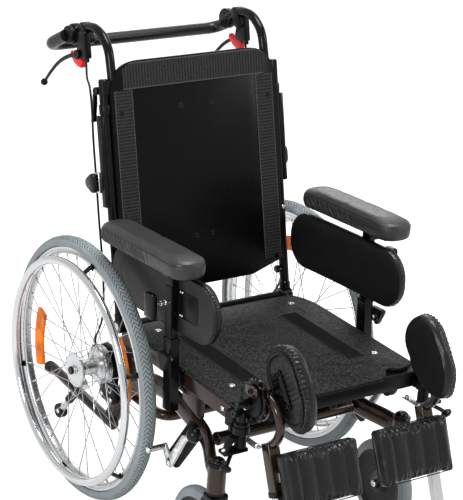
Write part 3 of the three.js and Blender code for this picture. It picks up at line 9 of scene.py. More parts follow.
import json
import logging
import math
from dataclasses import dataclass, field, replace
from enum import Enum
from typing import Callable, Iterable, Optional, Sequence

import bmesh
import bpy
import numpy as np
from mathutils import Matrix, Vector

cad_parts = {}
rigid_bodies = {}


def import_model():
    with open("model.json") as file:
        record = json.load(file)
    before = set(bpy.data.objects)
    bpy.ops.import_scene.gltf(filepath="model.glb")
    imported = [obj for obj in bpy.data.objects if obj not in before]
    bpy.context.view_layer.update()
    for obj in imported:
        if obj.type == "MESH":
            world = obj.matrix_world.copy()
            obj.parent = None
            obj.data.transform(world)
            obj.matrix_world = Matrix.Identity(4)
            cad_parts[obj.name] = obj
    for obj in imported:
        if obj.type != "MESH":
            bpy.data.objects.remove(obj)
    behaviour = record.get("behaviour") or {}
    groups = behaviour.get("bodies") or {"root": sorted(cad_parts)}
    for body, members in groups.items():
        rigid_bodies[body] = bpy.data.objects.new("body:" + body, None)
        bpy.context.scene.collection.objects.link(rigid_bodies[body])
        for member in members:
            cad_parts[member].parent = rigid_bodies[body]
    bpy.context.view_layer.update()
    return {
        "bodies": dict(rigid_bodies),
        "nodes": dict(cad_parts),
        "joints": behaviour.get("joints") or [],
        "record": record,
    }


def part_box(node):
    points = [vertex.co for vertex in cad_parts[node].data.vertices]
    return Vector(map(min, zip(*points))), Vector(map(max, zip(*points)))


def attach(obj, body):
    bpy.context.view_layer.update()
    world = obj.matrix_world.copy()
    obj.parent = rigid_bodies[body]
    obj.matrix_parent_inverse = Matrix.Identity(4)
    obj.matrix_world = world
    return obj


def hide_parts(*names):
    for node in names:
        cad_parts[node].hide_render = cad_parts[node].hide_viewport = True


LOG = logging.getLogger("wheelchair")
MILLIMETRE = 0.001
FULL_TURN = 2 * math.pi
Array = np.ndarray


class Side(Enum):
    """One side of the chair, and the sign of its X."""

    LEFT = 1
    RIGHT = -1

    def node(self, name: str) -> str:
        """Gives the name that a paired node has on this side."""
        return f"{name}_{self.name.lower()}"


class Texture(Enum):
    """The relief that a finish has under a close look."""

    SMOOTH = "smooth"
    FLAKE = "flake"
    PEBBLE = "pebble"
    SPECKLE = "speckle"
    HIDE = "hide"
    FOAM = "foam"
    BRUSHED = "brushed"


# ---- Surfaces -------------------------------------------------------------------------------


@dataclass
class Solid:
    """A closed surface.

    Attributes:
        points: Corner places, one row each, in millimetres.
        quads: Four-sided faces as rows of corner numbers.
        uv: A surface coordinate for each corner of each quad.
        caps: End faces as lists of corner numbers.
    """

    points: Array
    quads: Array
    uv: Array
    caps: list[list[int]] = field(default_factory=list)

    def moved(self, matrix: Array) -> "Solid":
        """Gives the solid carried by a 4 x 4 matrix."""
        return replace(self, points=self.points @ matrix[:3, :3].T + matrix[:3, 3])

    def on(self, side: Side) -> "Solid":
        """Gives the solid as it stands on one side of the chair: X times the side's sign."""
        return replace(self, points=self.points * np.array([side.value, 1, 1]))


def joined(solids: Sequence[Solid]) -> Solid:
    """Puts several solids in one.

    Args:
        solids: The solids, which stay separate shells.

    Returns:
        One solid that holds them all.
    """
    starts = np.cumsum([0] + [len(s.points) for s in solids])
    return Solid(
        np.concatenate([s.points for s in solids]),
        np.concatenate([s.quads + n for s, n in zip(solids, starts)]),
        np.concatenate([s.uv for s in solids]),
        [[int(n) + c for c in cap] for s, n in zip(solids, starts) for cap in s.caps],
    )


def grid(points: Array, wrap_rows: bool = False, wrap_columns: bool = True) -> Solid:
    """Joins a grid of points with quads.

    Each quad joins (i, j), (i, j+1), (i+1, j+1) and (i+1, j); its UV runs 0 to 1 over the grid.

    Args:
        points: Rows by columns by three.
        wrap_rows: Whether the last row joins the first.
        wrap_columns: Whether the last column joins the first.

    Returns:
        The solid, with end faces on rows that don't wrap.
    """
    rows, columns = points.shape[:2]
    i, j = np.meshgrid(
        np.arange(rows - (not wrap_rows)), np.arange(columns - (not wrap_columns)), indexing="ij"
    )
    step = np.array([[0, 0], [0, 1], [1, 1], [1, 0]])
    corner = np.stack([i, j], -1).reshape(-1, 1, 2) + step
    quads = (corner[..., 0] % rows) * columns + corner[..., 1] % columns
    uv = corner / np.array([rows - (not wrap_rows), columns - (not wrap_columns)])
    caps: list[list[int]] = []
    if not wrap_rows and wrap_columns:
        caps = [list(range(columns)), list(range((rows - 1) * columns, rows * columns))]
    return Solid(points.reshape(-1, 3), quads, uv.astype(float), caps)


def ruled(solid: Solid, along: int, across: int, middle: float, half: float) -> Solid:
    """Gives a flat tape its UV map: decimetres along one axis, and 0 to 1 across another."""
    places = solid.points[solid.quads]
    return replace(
        solid,
        uv=np.stack([places[..., along] / 100, (places[..., across] - middle) / (2 * half) + 0.5], -1)
    )


def unit(vectors: Array) -> Array:
    """Scales vectors to length one along their last axis."""
    return vectors / np.maximum(np.linalg.norm(vectors, axis=-1, keepdims=True), 1e-9)


def oval(half_wide: float, half_high: float, count: int = 24) -> Array:
    """Gives an oval section: (a cos t, b sin t)."""
    t = np.arange(count) / count * FULL_TURN
    return np.stack([half_wide * np.cos(t), half_high * np.sin(t)], 1)


def soft_square(half_wide: float, half_high: float, corner: float, steps: int = 4) -> Array:
    """Gives a rectangle with round corners, each corner a quarter circle of the same radius."""
    t = (np.arange(4)[:, None] + np.arange(steps + 1) / steps) * math.pi / 2
    middle = np.array([[1, 1], [-1, 1], [-1, -1], [1, -1]]) * [half_wide - corner, half_high - corner]
    ring = middle[:, None] + corner * np.stack([np.cos(t), np.sin(t)], -1)
    return ring.reshape(-1, 2)


def curve_through(points: Sequence[Sequence[float]], per_run: int = 8) -> Array:
    """Runs a smooth line through points.

    The curve is Catmull-Rom with centripetal knots, each the last plus the root of the gap. A run mixes
    its straight chords, and then those mixes, each by its share of the knots.

    Args:
        points: The points in order.
        per_run: Samples on each run.

    Returns:
        The line's points.
    """
    p = np.asarray(points, float)
    p = np.concatenate([[2 * p[0] - p[1]], p, [2 * p[-1] - p[-2]]])
    knots = np.concatenate([[0], np.cumsum(np.sqrt(np.linalg.norm(np.diff(p, axis=0), axis=1)))])
    runs = []
    for i in range(len(p) - 3):
        k, mixes = knots[i : i + 4], list(p[i : i + 4])
        t = np.linspace(k[1], k[2], per_run, endpoint=False)[:, None]
        for ends in (((0, 1), (1, 2), (2, 3)), ((0, 2), (1, 3)), ((1, 2),)):
            mixes = [
                (
                    (k[b] - t) * mixes[j] + (t - k[a]) * mixes[j + 1]
                ) / (k[b] - k[a]) for j, (a, b) in enumerate(ends)
            ]
        runs.append(mixes[0])
    return np.concatenate([*runs, p[-2:-1]])


def bent_line(corners: Sequence[Sequence[float]], radius: float, steps: int = 8) -> Array:
    """Runs straight between corners and rounds each one.

    A corner is replaced by the quadratic curve from a point short of it to a point past it.

    Args:
        corners: Corner points in order.
        radius: About the bend's radius.
        steps: Samples on each bend.

    Returns:
        The line's points.
    """
    p = np.asarray(corners, float)
    back, ahead = unit(p[:-2] - p[1:-1]), unit(p[2:] - p[1:-1])
    half = np.arccos(np.clip((back * ahead).sum(1), -1, 1)) / 2
    lengths = np.linalg.norm(np.diff(p, axis=0), axis=1)
    reach = np.minimum(radius / np.tan(half), np.minimum(lengths[:-1], lengths[1:]) * 0.475)[:, None, None]
    t = np.linspace(0, 1, steps)[None, :, None]
    mid = p[1:-1, None, :]
    bends = mid + reach * ((1 - t) ** 2 * back[:, None] + t**2 * ahead[:, None])
    return np.concatenate([p[:1], bends.reshape(-1, p.shape[1]), p[-1:]])


def sweep(
    path: Array, section: Array, across: Sequence[float] = (1, 0, 0), closed: bool = False,
    scale: Optional[Array] = None,
) -> Solid:
    """Carries a section along a path: point = station + s0 * across + s1 * (ahead x across).

    Args:
        path: The stations.
        section: The section's points, first value along across.
        across: A direction that the section's first axis keeps near.
        closed: Whether the path is a loop.
        scale: A size for the section at each station.

    Returns:
        The swept solid.
    """
    ahead = unit(np.roll(path, -1, 0) - np.roll(path, 1, 0) if closed else np.gradient(path, axis=0))
    first = np.asarray(across, float)
    wide = unit(first - (ahead @ first)[:, None] * ahead)
    high = np.cross(ahead, wide)
    size = np.ones(len(path)) if scale is None else scale
    s = section[None] * size[:, None, None]
    points = path[:, None] + s[..., :1] * wide[:, None] + s[..., 1:] * high[:, None]
    return grid(points, wrap_rows=closed)


def turned(
    profile: Sequence[Sequence[float]], start: Sequence[float], heading: Sequence[float],
    facets: int = 40, closed: bool = False,
) -> Solid:
    """Turns a profile about a line: point = start + h * axis + r (cos t * p + sin t * q).

    Args:
        profile: Rows of radius r and height h.
        start: The line's first point.
        heading: The line's direction.
        facets: Steps round the turn.
        closed: Whether the profile is a loop, as a ring's is.

    Returns:
        The turned solid.
    """
    axis = unit(np.asarray(heading, float))
    helper = np.array([0.0, 0, 1]) if abs(axis[2]) < 0.9 else np.array([1.0, 0, 0])
    p = unit(np.cross(helper, axis))
    q = np.cross(axis, p)
    shape = np.asarray(profile, float)
    t = np.arange(facets) / facets * FULL_TURN
    round_ = np.cos(t)[:, None] * p + np.sin(t)[:, None] * q
    points = np.asarray(start, float) + shape[:, None, 1:] * axis + shape[:, None, :1] * round_
    return grid(points, wrap_rows=closed)


def rod(
    start: Sequence[float], end: Sequence[float], radius: float, edge: float = 0.8,
    facets: int = 28, end_radius: Optional[float] = None,
) -> Solid:
    """Makes a round bar or disc whose end edges are eased by a small chamfer."""
    heading = np.asarray(end, float) - np.asarray(start, float)
    long = float(np.linalg.norm(heading))
    last = radius if end_radius is None else end_radius
    ease = min(edge, long / 3, radius / 2)
    profile = [(radius - ease, 0), (radius, ease), (last, long - ease), (last - ease, long)]
    return turned(profile, start, heading, facets)


def ball(centre: Sequence[float], radius: float, facets: int = 28) -> Solid:
    """Makes a ball: the half circle r sin t, -r cos t turned about Z."""
    t = np.linspace(0.06, math.pi - 0.06, facets // 2)
    return turned(np.stack([radius * np.sin(t), -radius * np.cos(t)], 1), centre, (0, 0, 1), facets)


def outline(corners: Sequence[Sequence[float]], radius: float, steps: int = 6) -> Array:
    """Rounds a closed outline's corners.

    Each corner takes its own third value as its bend, or else the common one, and becomes a quadratic
    curve between the points where the bend starts and ends.

    Args:
        corners: Corner points in order.
        radius: The common bend radius.
        steps: Samples on each bend.

    Returns:
        The outline's points.
    """
    p = np.array([c[:2] for c in corners], float)
    bend = np.array([c[2] if len(c) > 2 else radius for c in corners])
    back, ahead = np.roll(p, 1, 0) - p, np.roll(p, -1, 0) - p
    lb, la = np.linalg.norm(back, axis=1), np.linalg.norm(ahead, axis=1)
    half = np.arccos(np.clip((back * ahead).sum(1) / (lb * la), -1, 1)) / 2
    reach = np.minimum(bend / np.tan(half), np.minimum(lb, la) / 2.02)[:, None, None]
    t = np.linspace(0, 1, steps)[None, :, None]
    curve = p[:, None] + reach * ((1 - t) ** 2 * unit(back)[:, None] + t**2 * unit(ahead)[:, None])
    return curve.reshape(-1, 2)


def box_outline(u0: float, v0: float, u1: float, v1: float, radius: float) -> Array:
    """Gives a rectangle's outline with rounded corners."""
    return outline([(u0, v0), (u1, v0), (u1, v1), (u0, v1)], radius)


def strap_outline(
    first: Sequence[float], first_radius: float, second: Sequence[float], second_radius: float
) -> Array:
    """Gives the outline round two circles and their outer tangents."""
    a, b = np.asarray(first, float), np.asarray(second, float)
    span = b - a
    heading = math.atan2(span[1], span[0])
    spread = math.acos(max(-1.0, min(1.0, (first_radius - second_radius) / math.hypot(*span))))
    t1 = np.linspace(heading + spread, heading - spread + FULL_TURN, 16)
    t2 = np.linspace(heading - spread, heading + spread, 16)
    near = a + first_radius * np.stack([np.cos(t1), np.sin(t1)], 1)
    far = b + second_radius * np.stack([np.cos(t2), np.sin(t2)], 1)
    return np.concatenate([near, far])


def drawn_in(shape: Array, amount: float) -> Array:
    """Moves an outline inwards by an amount along the mean of its two edges' normals at each point."""
    before, after = shape - np.roll(shape, 1, 0), np.roll(shape, -1, 0) - shape
    area = (shape[:, 0] * np.roll(shape, -1, 0)[:, 1] - np.roll(shape, -1, 0)[:, 0] * shape[:, 1]).sum()
    normals = unit(unit(before) + unit(after))[:, ::-1] * [1, -1] * np.sign(area)
    return shape - normals * amount


AXIS_FRAMES = {
    "x": np.array([[0, 0, 1], [1, 0, 0], [0, 1, 0]], float),
    "y": np.array([[1, 0, 0], [0, 0, 1], [0, 1, 0]], float),
    "z": np.array([[1, 0, 0], [0, 1, 0], [0, 0, 1]], float),
}


def plate(shape: Array, axis: str, low: float, high: float, edge: float = 0.8) -> Solid:
    """Makes a flat plate from an outline, with eased edges.

    Rings follow the outline at low, low + edge, high - edge and high; the outer two are drawn in.

    Args:
        shape: The outline, in the two axes that are left in X, Y, Z order.
        axis: The axis across the plate.
        low: The plate's lower face.
        high: The plate's upper face.
        edge: How far the edges are eased.

    Returns:
        The plate.
    """
    ease = min(edge, (high - low) / 3)
    rings = [(ease, low), (0.3 * ease, low + 0.3 * ease), (0, low + ease)]
    rings += [(0, high - ease), (0.3 * ease, high - 0.3 * ease), (ease, high)]
    layers = [np.column_stack([drawn_in(shape, inset), np.full(len(shape), at)]) for inset, at in rings]
    return grid(np.stack(layers) @ AXIS_FRAMES[axis].T)


def brick(low: Sequence[float], high: Sequence[float], edge: float = 1.0, corner: float = 1.5) -> Solid:
    """Makes a box with eased edges between two opposite corners."""
    (x0, y0, z0), (x1, y1, z1) = np.minimum(low, high), np.maximum(low, high)
    ease = min(corner, (x1 - x0) / 3, (y1 - y0) / 3)
    return plate(box_outline(x0, y0, x1, y1, ease), "z", z0, z1, edge)


def leaning(x: float, y: float, z: float, lean_degrees: float) -> Array:
    """Gives the frame at a point that leans back about X: a turn by -lean, then the shift."""
    c, s = math.cos(math.radians(lean_degrees)), math.sin(math.radians(lean_degrees))
    return np.array([[1, 0, 0, x], [0, c, s, y], [0, -s, c, z], [0, 0, 0, 1]])


def hex_bolt(centre: Sequence[float], heading: Sequence[float], radius: float, high: float) -> Solid:
    """Makes a domed socket bolt head with a sunk hexagon's rim as a turned profile."""
    r, h = radius, high
    profile = [(r, 0), (r, 0.55 * h), (0.8 * r, 0.9 * h), (0.5 * r, h), (0.45 * r, 0.45 * h)]
    return turned(profile, centre, heading, 24)


# ---- Finishes -------------------------------------------------------------------------------

# How strongly the reflectors glow by emission: a painted glow that stands in for the room's light given back.
REFLECTOR_PAINTED_GLOW = 0.25


class Wiring:
    """A material's node tree, with short calls to add and join nodes."""

    def __init__(self, name: str) -> None:
        """Makes an empty material with one Principled shader."""
        self.material = bpy.data.materials.new(name)
        self.material.use_nodes = True
        self.tree = self.material.node_tree
        self.tree.nodes.clear()
        self.shader = self.tree.nodes.new("ShaderNodeBsdfPrincipled")
        output = self.tree.nodes.new("ShaderNodeOutputMaterial")
        self.tree.links.new(self.shader.outputs[0], output.inputs[0])

    def node(self, kind: str, inputs: Optional[dict] = None, **settings: object) -> bpy.types.Node:
        """Adds a node.

        Args:
            kind: The node type without its ShaderNode start.
            inputs: Values or sockets for its inputs, by name or number.
            settings: Attributes of the node.

        Returns:
            The node.
        """
        made = self.tree.nodes.new("ShaderNode" + kind)
        for name, value in settings.items():
            setattr(made, name, value)
        for name, value in (inputs or {}).items():
            if isinstance(value, bpy.types.NodeSocket):
                self.tree.links.new(value, made.inputs[name])
            else:
                made.inputs[name].default_value = value
        return made

    def maths(self, operation: str, first: object, second: object = 0.0) -> bpy.types.NodeSocket:
        """Adds a Math node on two values or sockets and gives its result."""
        return self.node("Math", {0: first, 1: second}, operation=operation).outputs[0]

    def place(
        self, shift: Sequence[float] = (0, 0, 0), stretch: Sequence[float] = (1, 1, 1)
    ) -> bpy.types.NodeSocket:
        """Gives Object coordinates, shifted and stretched."""
        source = self.node("TexCoord").outputs["Object"]
        return self.node("Mapping", {"Vector": source, "Location": shift, "Scale": stretch}).outputs[0]

    def noise(self, place: bpy.types.NodeSocket, size: float, detail: float = 3.0) -> bpy.types.NodeSocket:
        """Gives noise whose blotches are about size millimetres across."""
        inputs = {"Vector": place, "Scale": 1 / (size * MILLIMETRE), "Detail": detail}
        return self.node("TexNoise", inputs).outputs[0]

    def cells(self, place: bpy.types.NodeSocket, size: float) -> bpy.types.NodeSocket:
        """Gives the distance to the nearest of cells about size millimetres across."""
        return self.node("TexVoronoi", {"Vector": place, "Scale": 1 / (size * MILLIMETRE)}).outputs[0]

    def span(
        self, value: bpy.types.NodeSocket, low: float, high: float, from_low: float = 0.3,
        from_high: float = 0.7
    ) -> bpy.types.NodeSocket:
        """Stretches a value from one span to another and holds it there."""
        inputs = {0: value, 1: from_low, 2: from_high, 3: low, 4: high}
        return self.node("MapRange", inputs).outputs[0]

    def blend(
        self, share: bpy.types.NodeSocket, first: Sequence[float], second: Sequence[float]
    ) -> bpy.types.NodeSocket:
        """Mixes two colours by a share."""
        mix = self.node("MixRGB", {0: share, 1: (*first, 1), 2: (*second, 1)})
        return mix.outputs[0]

    def relief(self, height: bpy.types.NodeSocket, depth: float, strength: float = 1.0) -> None:
        """Gives the shader a bump depth millimetres deep."""
        inputs = {"Height": height, "Distance": depth * MILLIMETRE, "Strength": strength}
        self.tree.links.new(self.node("Bump", inputs).outputs[0], self.shader.inputs["Normal"])

    def wire(self, socket: bpy.types.NodeSocket, name: str) -> None:
        """Joins a socket to one of the shader's inputs."""
        self.tree.links.new(socket, self.shader.inputs[name])

    def fix(self, **values: float) -> None:
        """Sets the shader's own sockets; an underscore stands for a blank."""
        for name, value in values.items():
            self.shader.inputs[name.replace("_", " ")].default_value = value


@dataclass(frozen=True)
class Finish:
    """A surface finish.

    Attributes:
        name: The material's name.
        colour: Its linear colour.
        metallic: 1 on bare metal.
        roughness: How dull it is.
        texture: Its relief.
        grain: The relief's size in millimetres.
        depth: The relief's depth in millimetres.
        tone: How much lighter or darker its blotches are, as a share.
        coat: The clear coat's weight.
        sheen: The fabric sheen's weight.
        specular: The shader's specular level, where 0.5 is plain plastic.
    """

    name: str
    colour: tuple[float, float, float]
    metallic: float = 0.0
    roughness: float = 0.5
    texture: Texture = Texture.SMOOTH
    grain: float = 1.0
    depth: float = 0.1
    tone: float = 0.12
    coat: float = 0.0
    sheen: float = 0.0
    specular: float = 0.5

    def tint(self, share: float) -> tuple[float, float, float]:
        """Gives the colour times a share."""
        return tuple(min(1.0, c * share) for c in self.colour)

    def material(self) -> bpy.types.Material:
        """Builds the material once, and gives the same one afterwards."""
        known = bpy.data.materials.get(self.name)
        return known or self.build(Wiring(self.name))

    def build(self, wiring: Wiring) -> bpy.types.Material:
        """Wires colour from soft blotches, roughness from finer ones, and the relief.

        Args:
            wiring: The new material's tree.

        Returns:
            The material.
        """
        wiring.fix(
            Metallic=self.metallic, Coat_Weight=self.coat, Sheen_Weight=self.sheen,
            Specular_IOR_Level=self.specular,
        )
        place = wiring.place()
        blotch = wiring.span(wiring.noise(place, 46), 0, 1)
        fine = wiring.noise(place, self.grain, 2)
        share = blotch
        if self.texture is Texture.FLAKE:
            share = wiring.span(fine, 0, 1, 0.42, 0.62)
        if self.texture is Texture.SPECKLE:
            share = wiring.span(fine, 0, 1, 0.46, 0.68)
        wiring.wire(wiring.blend(share, self.tint(1 - self.tone), self.tint(1 + self.tone)), "Base Color")
        rough = wiring.noise(place, 9, 4)
        wiring.wire(wiring.span(rough, self.roughness * 0.85, min(1.0, self.roughness * 1.15)), "Roughness")
        height = self.height(wiring, place, fine)
        if height is not None:
            wiring.relief(height, self.depth)
        return wiring.material

    def height(
        self, wiring: Wiring, place: bpy.types.NodeSocket, fine: bpy.types.NodeSocket
    ) -> Optional[bpy.types.NodeSocket]:
        """Gives the relief's height, or None on a smooth finish.

        Args:
            wiring: The material's tree.
            place: Object coordinates.
            fine: Noise of the grain's size.

        Returns:
            The height socket.
        """
        if self.texture is Texture.SMOOTH:
            return wiring.noise(place, 24, 1)
        if self.texture is Texture.HIDE:
            creases = wiring.cells(place, self.grain)
            return wiring.maths("ADD", creases, wiring.maths("MULTIPLY", wiring.noise(place, 14, 3), 1.4))
        if self.texture is Texture.PEBBLE:
            return wiring.maths("ADD", wiring.cells(place, self.grain), fine)
        if self.texture is Texture.FOAM:
            return wiring.maths("MULTIPLY", wiring.cells(place, self.grain), fine)
        if self.texture is Texture.BRUSHED:
            return wiring.noise(wiring.place(stretch=(0.04, 1, 1)), self.grain, 2)
        return fine


@dataclass(frozen=True)
class Tread(Finish):
    """Tyre rubber: painted shade in the herringbone's grooves, on a UV map of millimetres across and turns.

    Attributes:
        blocks: Blocks round the tyre.
        lane: A lane's width in millimetres.
        crown: Half the tread's width in millimetres.
        groove: A groove's share of a block's pitch.
    """

    blocks: int = 176
    lane: float = 8.6
    crown: float = 17.5
    groove: float = 0.4

    def cut(self, across: Array, turn: Array) -> Array:
        """Gives how deep the tread is cut, 0 to 1: a saw of the turn plus each lane's slant.

        Args:
            across: Millimetres from the tread's middle.
            turn: The share of a turn.

        Returns:
            The depth as a share.
        """
        lane = np.abs(across) / self.lane
        slant = np.abs((lane + 1) % 2 - 1)
        saw = (turn * self.blocks + slant) % 1
        return (saw < self.groove) * np.clip((self.crown - np.abs(across)) / 1.5, 0, 1)

    def build(self, wiring: Wiring) -> bpy.types.Material:
        """Wires painted shade in the grooves from the same saw, and fine rings on the walls.

        Args:
            wiring: The new material's tree.

        Returns:
            The material.
        """
        parts = wiring.node("SeparateXYZ", {0: wiring.node("TexCoord").outputs["UV"]}).outputs
        across = wiring.maths("ABSOLUTE", wiring.maths("MULTIPLY", parts[0], 100.0))
        slant = wiring.maths("PINGPONG", wiring.maths("DIVIDE", across, self.lane), 1.0)
        saw = wiring.maths(
            "FRACT", wiring.maths("ADD", wiring.maths("MULTIPLY", parts[1], float(self.blocks)), slant)
        )
        block = wiring.span(saw, 0, 1, self.groove - 0.06, self.groove + 0.02)
        crown = wiring.span(across, 1, 0, self.crown - 1, self.crown)
        cut = wiring.maths(
            "SUBTRACT", 1.0, wiring.maths("MULTIPLY", crown, wiring.maths("SUBTRACT", 1.0, block))
        )
        rings = wiring.maths("SINE", wiring.maths("MULTIPLY", across, 2.4))
        dust = wiring.noise(wiring.place(), 30, 4)
        # Painted shade: the grooves darken the rubber's colour, times a random dust tone.
        shade = wiring.maths("MULTIPLY", wiring.span(cut, 0.5, 1, 0, 1), wiring.span(dust, 0.92, 1.08))
        tinted = wiring.node("MixRGB", {0: 1.0, 1: (*self.colour, 1), 2: shade}, blend_type="MULTIPLY")
        wiring.wire(tinted.outputs[0], "Base Color")
        wiring.fix(Roughness=self.roughness, Specular_IOR_Level=self.specular)
        wiring.relief(rings, self.depth)
        return wiring.material


@dataclass(frozen=True)
class HookTape(Finish):
    """Hook tape: a fine field of hooks in ribs across the tape, on a UV map, with a paler edge.

    The map's first value counts decimetres along the tape, and its second runs 0 to 1 across it.

    Attributes:
        ribs: Ribs on each decimetre.
        edge_share: The pale edge's share of the width.
    """

    ribs: float = 13.4
    edge_share: float = 0.05

    def build(self, wiring: Wiring) -> bpy.types.Material:
        """Wires ribs from a sine along the tape times fine noise, as relief and as painted light and shade in the
        colour, and a pale line at both edges.

        Args:
            wiring: The new material's tree.

        Returns:
            The material.
        """
        place = wiring.place()
        parts = wiring.node("SeparateXYZ", {0: wiring.node("TexCoord").outputs["UV"]}).outputs
        wave = wiring.maths("SINE", wiring.maths("MULTIPLY", parts[0], self.ribs * FULL_TURN))
        hooks = wiring.noise(place, self.grain, 2)
        pile = wiring.maths("ADD", wiring.span(wave, 0, 0.6, -1, 1), wiring.span(hooks, 0, 0.9))
        side = wiring.maths("ABSOLUTE", wiring.maths("SUBTRACT", parts[1], 0.5))
        rim = wiring.span(side, 0, 1, 0.5 - self.edge_share, 0.5 - self.edge_share / 2)
        # Painted light and shade: the colour is lighter on the pile's ribs and darker between them, with the
        # hooks' noise as random tone.
        body = wiring.blend(
            wiring.span(pile, 0, 1, 0.2, 1.3), self.tint(1 - self.tone), self.tint(1 + self.tone)
        )
        mix = wiring.node("MixRGB", {0: rim, 1: body, 2: (*self.tint(3.0), 1)})
        wiring.wire(mix.outputs[0], "Base Color")
        wiring.fix(Roughness=self.roughness, Sheen_Weight=self.sheen, Specular_IOR_Level=self.specular)
        wiring.relief(pile, self.depth)
        return wiring.material


@dataclass(frozen=True)
class Prism(Finish):
    """Reflector plastic: small cube corners under a clear amber face, with painted glints and a painted glow."""

    def build(self, wiring: Wiring) -> bpy.types.Material:
        """Wires a lattice of cells as relief under a clear coat, with colour from blotches of painted glints,
        also given as emission for a painted glow.

        Args:
            wiring: The new material's tree.

        Returns:
            The material.
        """
        place = wiring.place()
        corner = wiring.cells(place, self.grain)
        # Painted glints: soft blotches lighten the amber, and the same colour is the emission, a painted glow.
        painted_glint = wiring.span(wiring.noise(place, 26, 2), 0, 1, 0.38, 0.66)
        colour = wiring.blend(painted_glint, self.tint(0.62), self.tint(1.25))
        wiring.wire(colour, "Base Color")
        wiring.wire(colour, "Emission Color")
        wiring.fix(
            Roughness=self.roughness, Coat_Weight=self.coat, Emission_Strength=REFLECTOR_PAINTED_GLOW,
            Specular_IOR_Level=self.specular,
        )
        wiring.relief(corner, self.depth)
        return wiring.material


BRONZE = Finish(
    "bronze_lacquer", (0.026, 0.014, 0.01), 0.5, 0.22, Texture.FLAKE, 1.3, 0.02, 0.22, 0.2, specular=0.3
)
GLOSS_BLACK = Finish(
    "gloss_black_lacquer", (0.0022, 0.0022, 0.0024), 0.0, 0.19, Texture.SMOOTH, 1, 0.03, 0.1, specular=0.13
)
SATIN_BLACK = Finish(
    "satin_black_powder", (0.003, 0.003, 0.0033), 0.0, 0.36, Texture.PEBBLE, 0.9, 0.03, specular=0.12
)
MATT_PLASTIC = Finish(
    "matt_black_plastic", (0.0045, 0.0045, 0.0048), 0.0, 0.42, Texture.PEBBLE, 0.8, 0.04, specular=0.16
)
SHINY_PLASTIC = Finish(
    "shiny_black_plastic", (0.0028, 0.0028, 0.003), 0.0, 0.24, Texture.SMOOTH, 1, 0.02, specular=0.18
)
SEAT_BOARD = Finish(
    "speckled_seat_board", (0.0215, 0.0215, 0.0218), 0.0, 0.55, Texture.SPECKLE, 3.2, 0.2, 0.97,
    specular=0.1
)
BACK_BOARD = Finish(
    "smooth_back_board", (0.0022, 0.0022, 0.0023), 0.0, 0.3, Texture.PEBBLE, 1.2, 0.01, specular=0.08
)
FOAM = Finish("grip_foam", (0.004, 0.004, 0.0043), 0.0, 0.36, Texture.FOAM, 1.4, 0.05, 0.1, specular=0.3)
LEATHER = Finish(
    "padded_hide", (0.0046, 0.0046, 0.0047), 0.0, 0.34, Texture.HIDE, 1.5, 0.1, 0.1, specular=0.24
)
SOFT_LEATHER = Finish(
    "grey_black_leather", (0.0205, 0.0205, 0.0208), 0.0, 0.42, Texture.HIDE, 1.5, 0.08, 0.08, specular=0.3
)
STRETCH_CLOTH = Finish(
    "matt_stretch_cloth", (0.0058, 0.0058, 0.006), 0.0, 0.8, Texture.FOAM, 1.0, 0.06, 0.1, specular=0.07
)
GREY_BOARD = Finish(
    "grey_pad_board", (0.012, 0.012, 0.0122), 0.0, 0.45, Texture.PEBBLE, 0.9, 0.04, 0.06, specular=0.18
)
ALUMINIUM = Finish("polished_aluminium", (0.5, 0.505, 0.51), 1.0, 0.28, Texture.BRUSHED, 0.9, 0.01, 0.05)
CHROME = Finish("chrome", (0.5, 0.51, 0.52), 1.0, 0.08, Texture.SMOOTH, 1, 0.001, 0.02)
STEEL = Finish("bright_zinc", (0.58, 0.59, 0.6), 1.0, 0.28, Texture.SMOOTH, 1, 0.01, 0.1)
SPOKE_STEEL = Finish("spoke_steel", (0.3, 0.315, 0.33), 1.0, 0.28, Texture.SMOOTH, 1, 0.005, 0.08)
WHITE_ALLOY = Finish("satin_silver_casting", (0.6, 0.61, 0.61), 0.6, 0.36, Texture.PEBBLE, 0.8, 0.03, 0.06)
RUBBER = Finish("black_rubber", (0.008, 0.008, 0.0085), 0.0, 0.6, Texture.PEBBLE, 1.0, 0.06, specular=0.15)
GREY_RUBBER = Tread("tread_rubber", (0.215, 0.247, 0.256), 0.0, 0.66, depth=0.15, specular=0.25)
CASTER_RUBBER = Finish(
    "caster_rubber", (0.2, 0.225, 0.24), 0.0, 0.7, Texture.PEBBLE, 1.2, 0.05, specular=0.25
)
# The tapes' tone sets how strong the painted light and shade on their ribs is.
TAPE = HookTape(
    "hook_tape", (0.0175, 0.0175, 0.018), 0.0, 0.85, grain=1.6, depth=0.25, tone=0.75, specular=0.08
)
FINE_TAPE = HookTape(
    "hook_tape_seat", (0.0045, 0.0045, 0.0046), 0.0, 0.85, grain=1.6, depth=0.25, tone=0.85,
    edge_share=0.03, specular=0.05,
    ribs=19.0,
)
AMBER = Prism("amber_reflector", (0.66, 0.14, 0.002), 0.0, 0.25, grain=2.4, depth=0.4, specular=0.1)
RED = Finish("red_plastic", (0.62, 0.013, 0.014), 0.0, 0.34, Texture.SMOOTH, 1, 0.02, 0.05, specular=0.3)
THREAD = Finish("seam_thread", (0.006, 0.006, 0.0062), 0.0, 0.6, Texture.FOAM, 0.6, 0.05, specular=0.2)


# ---- Making pieces --------------------------------------------------------------------------


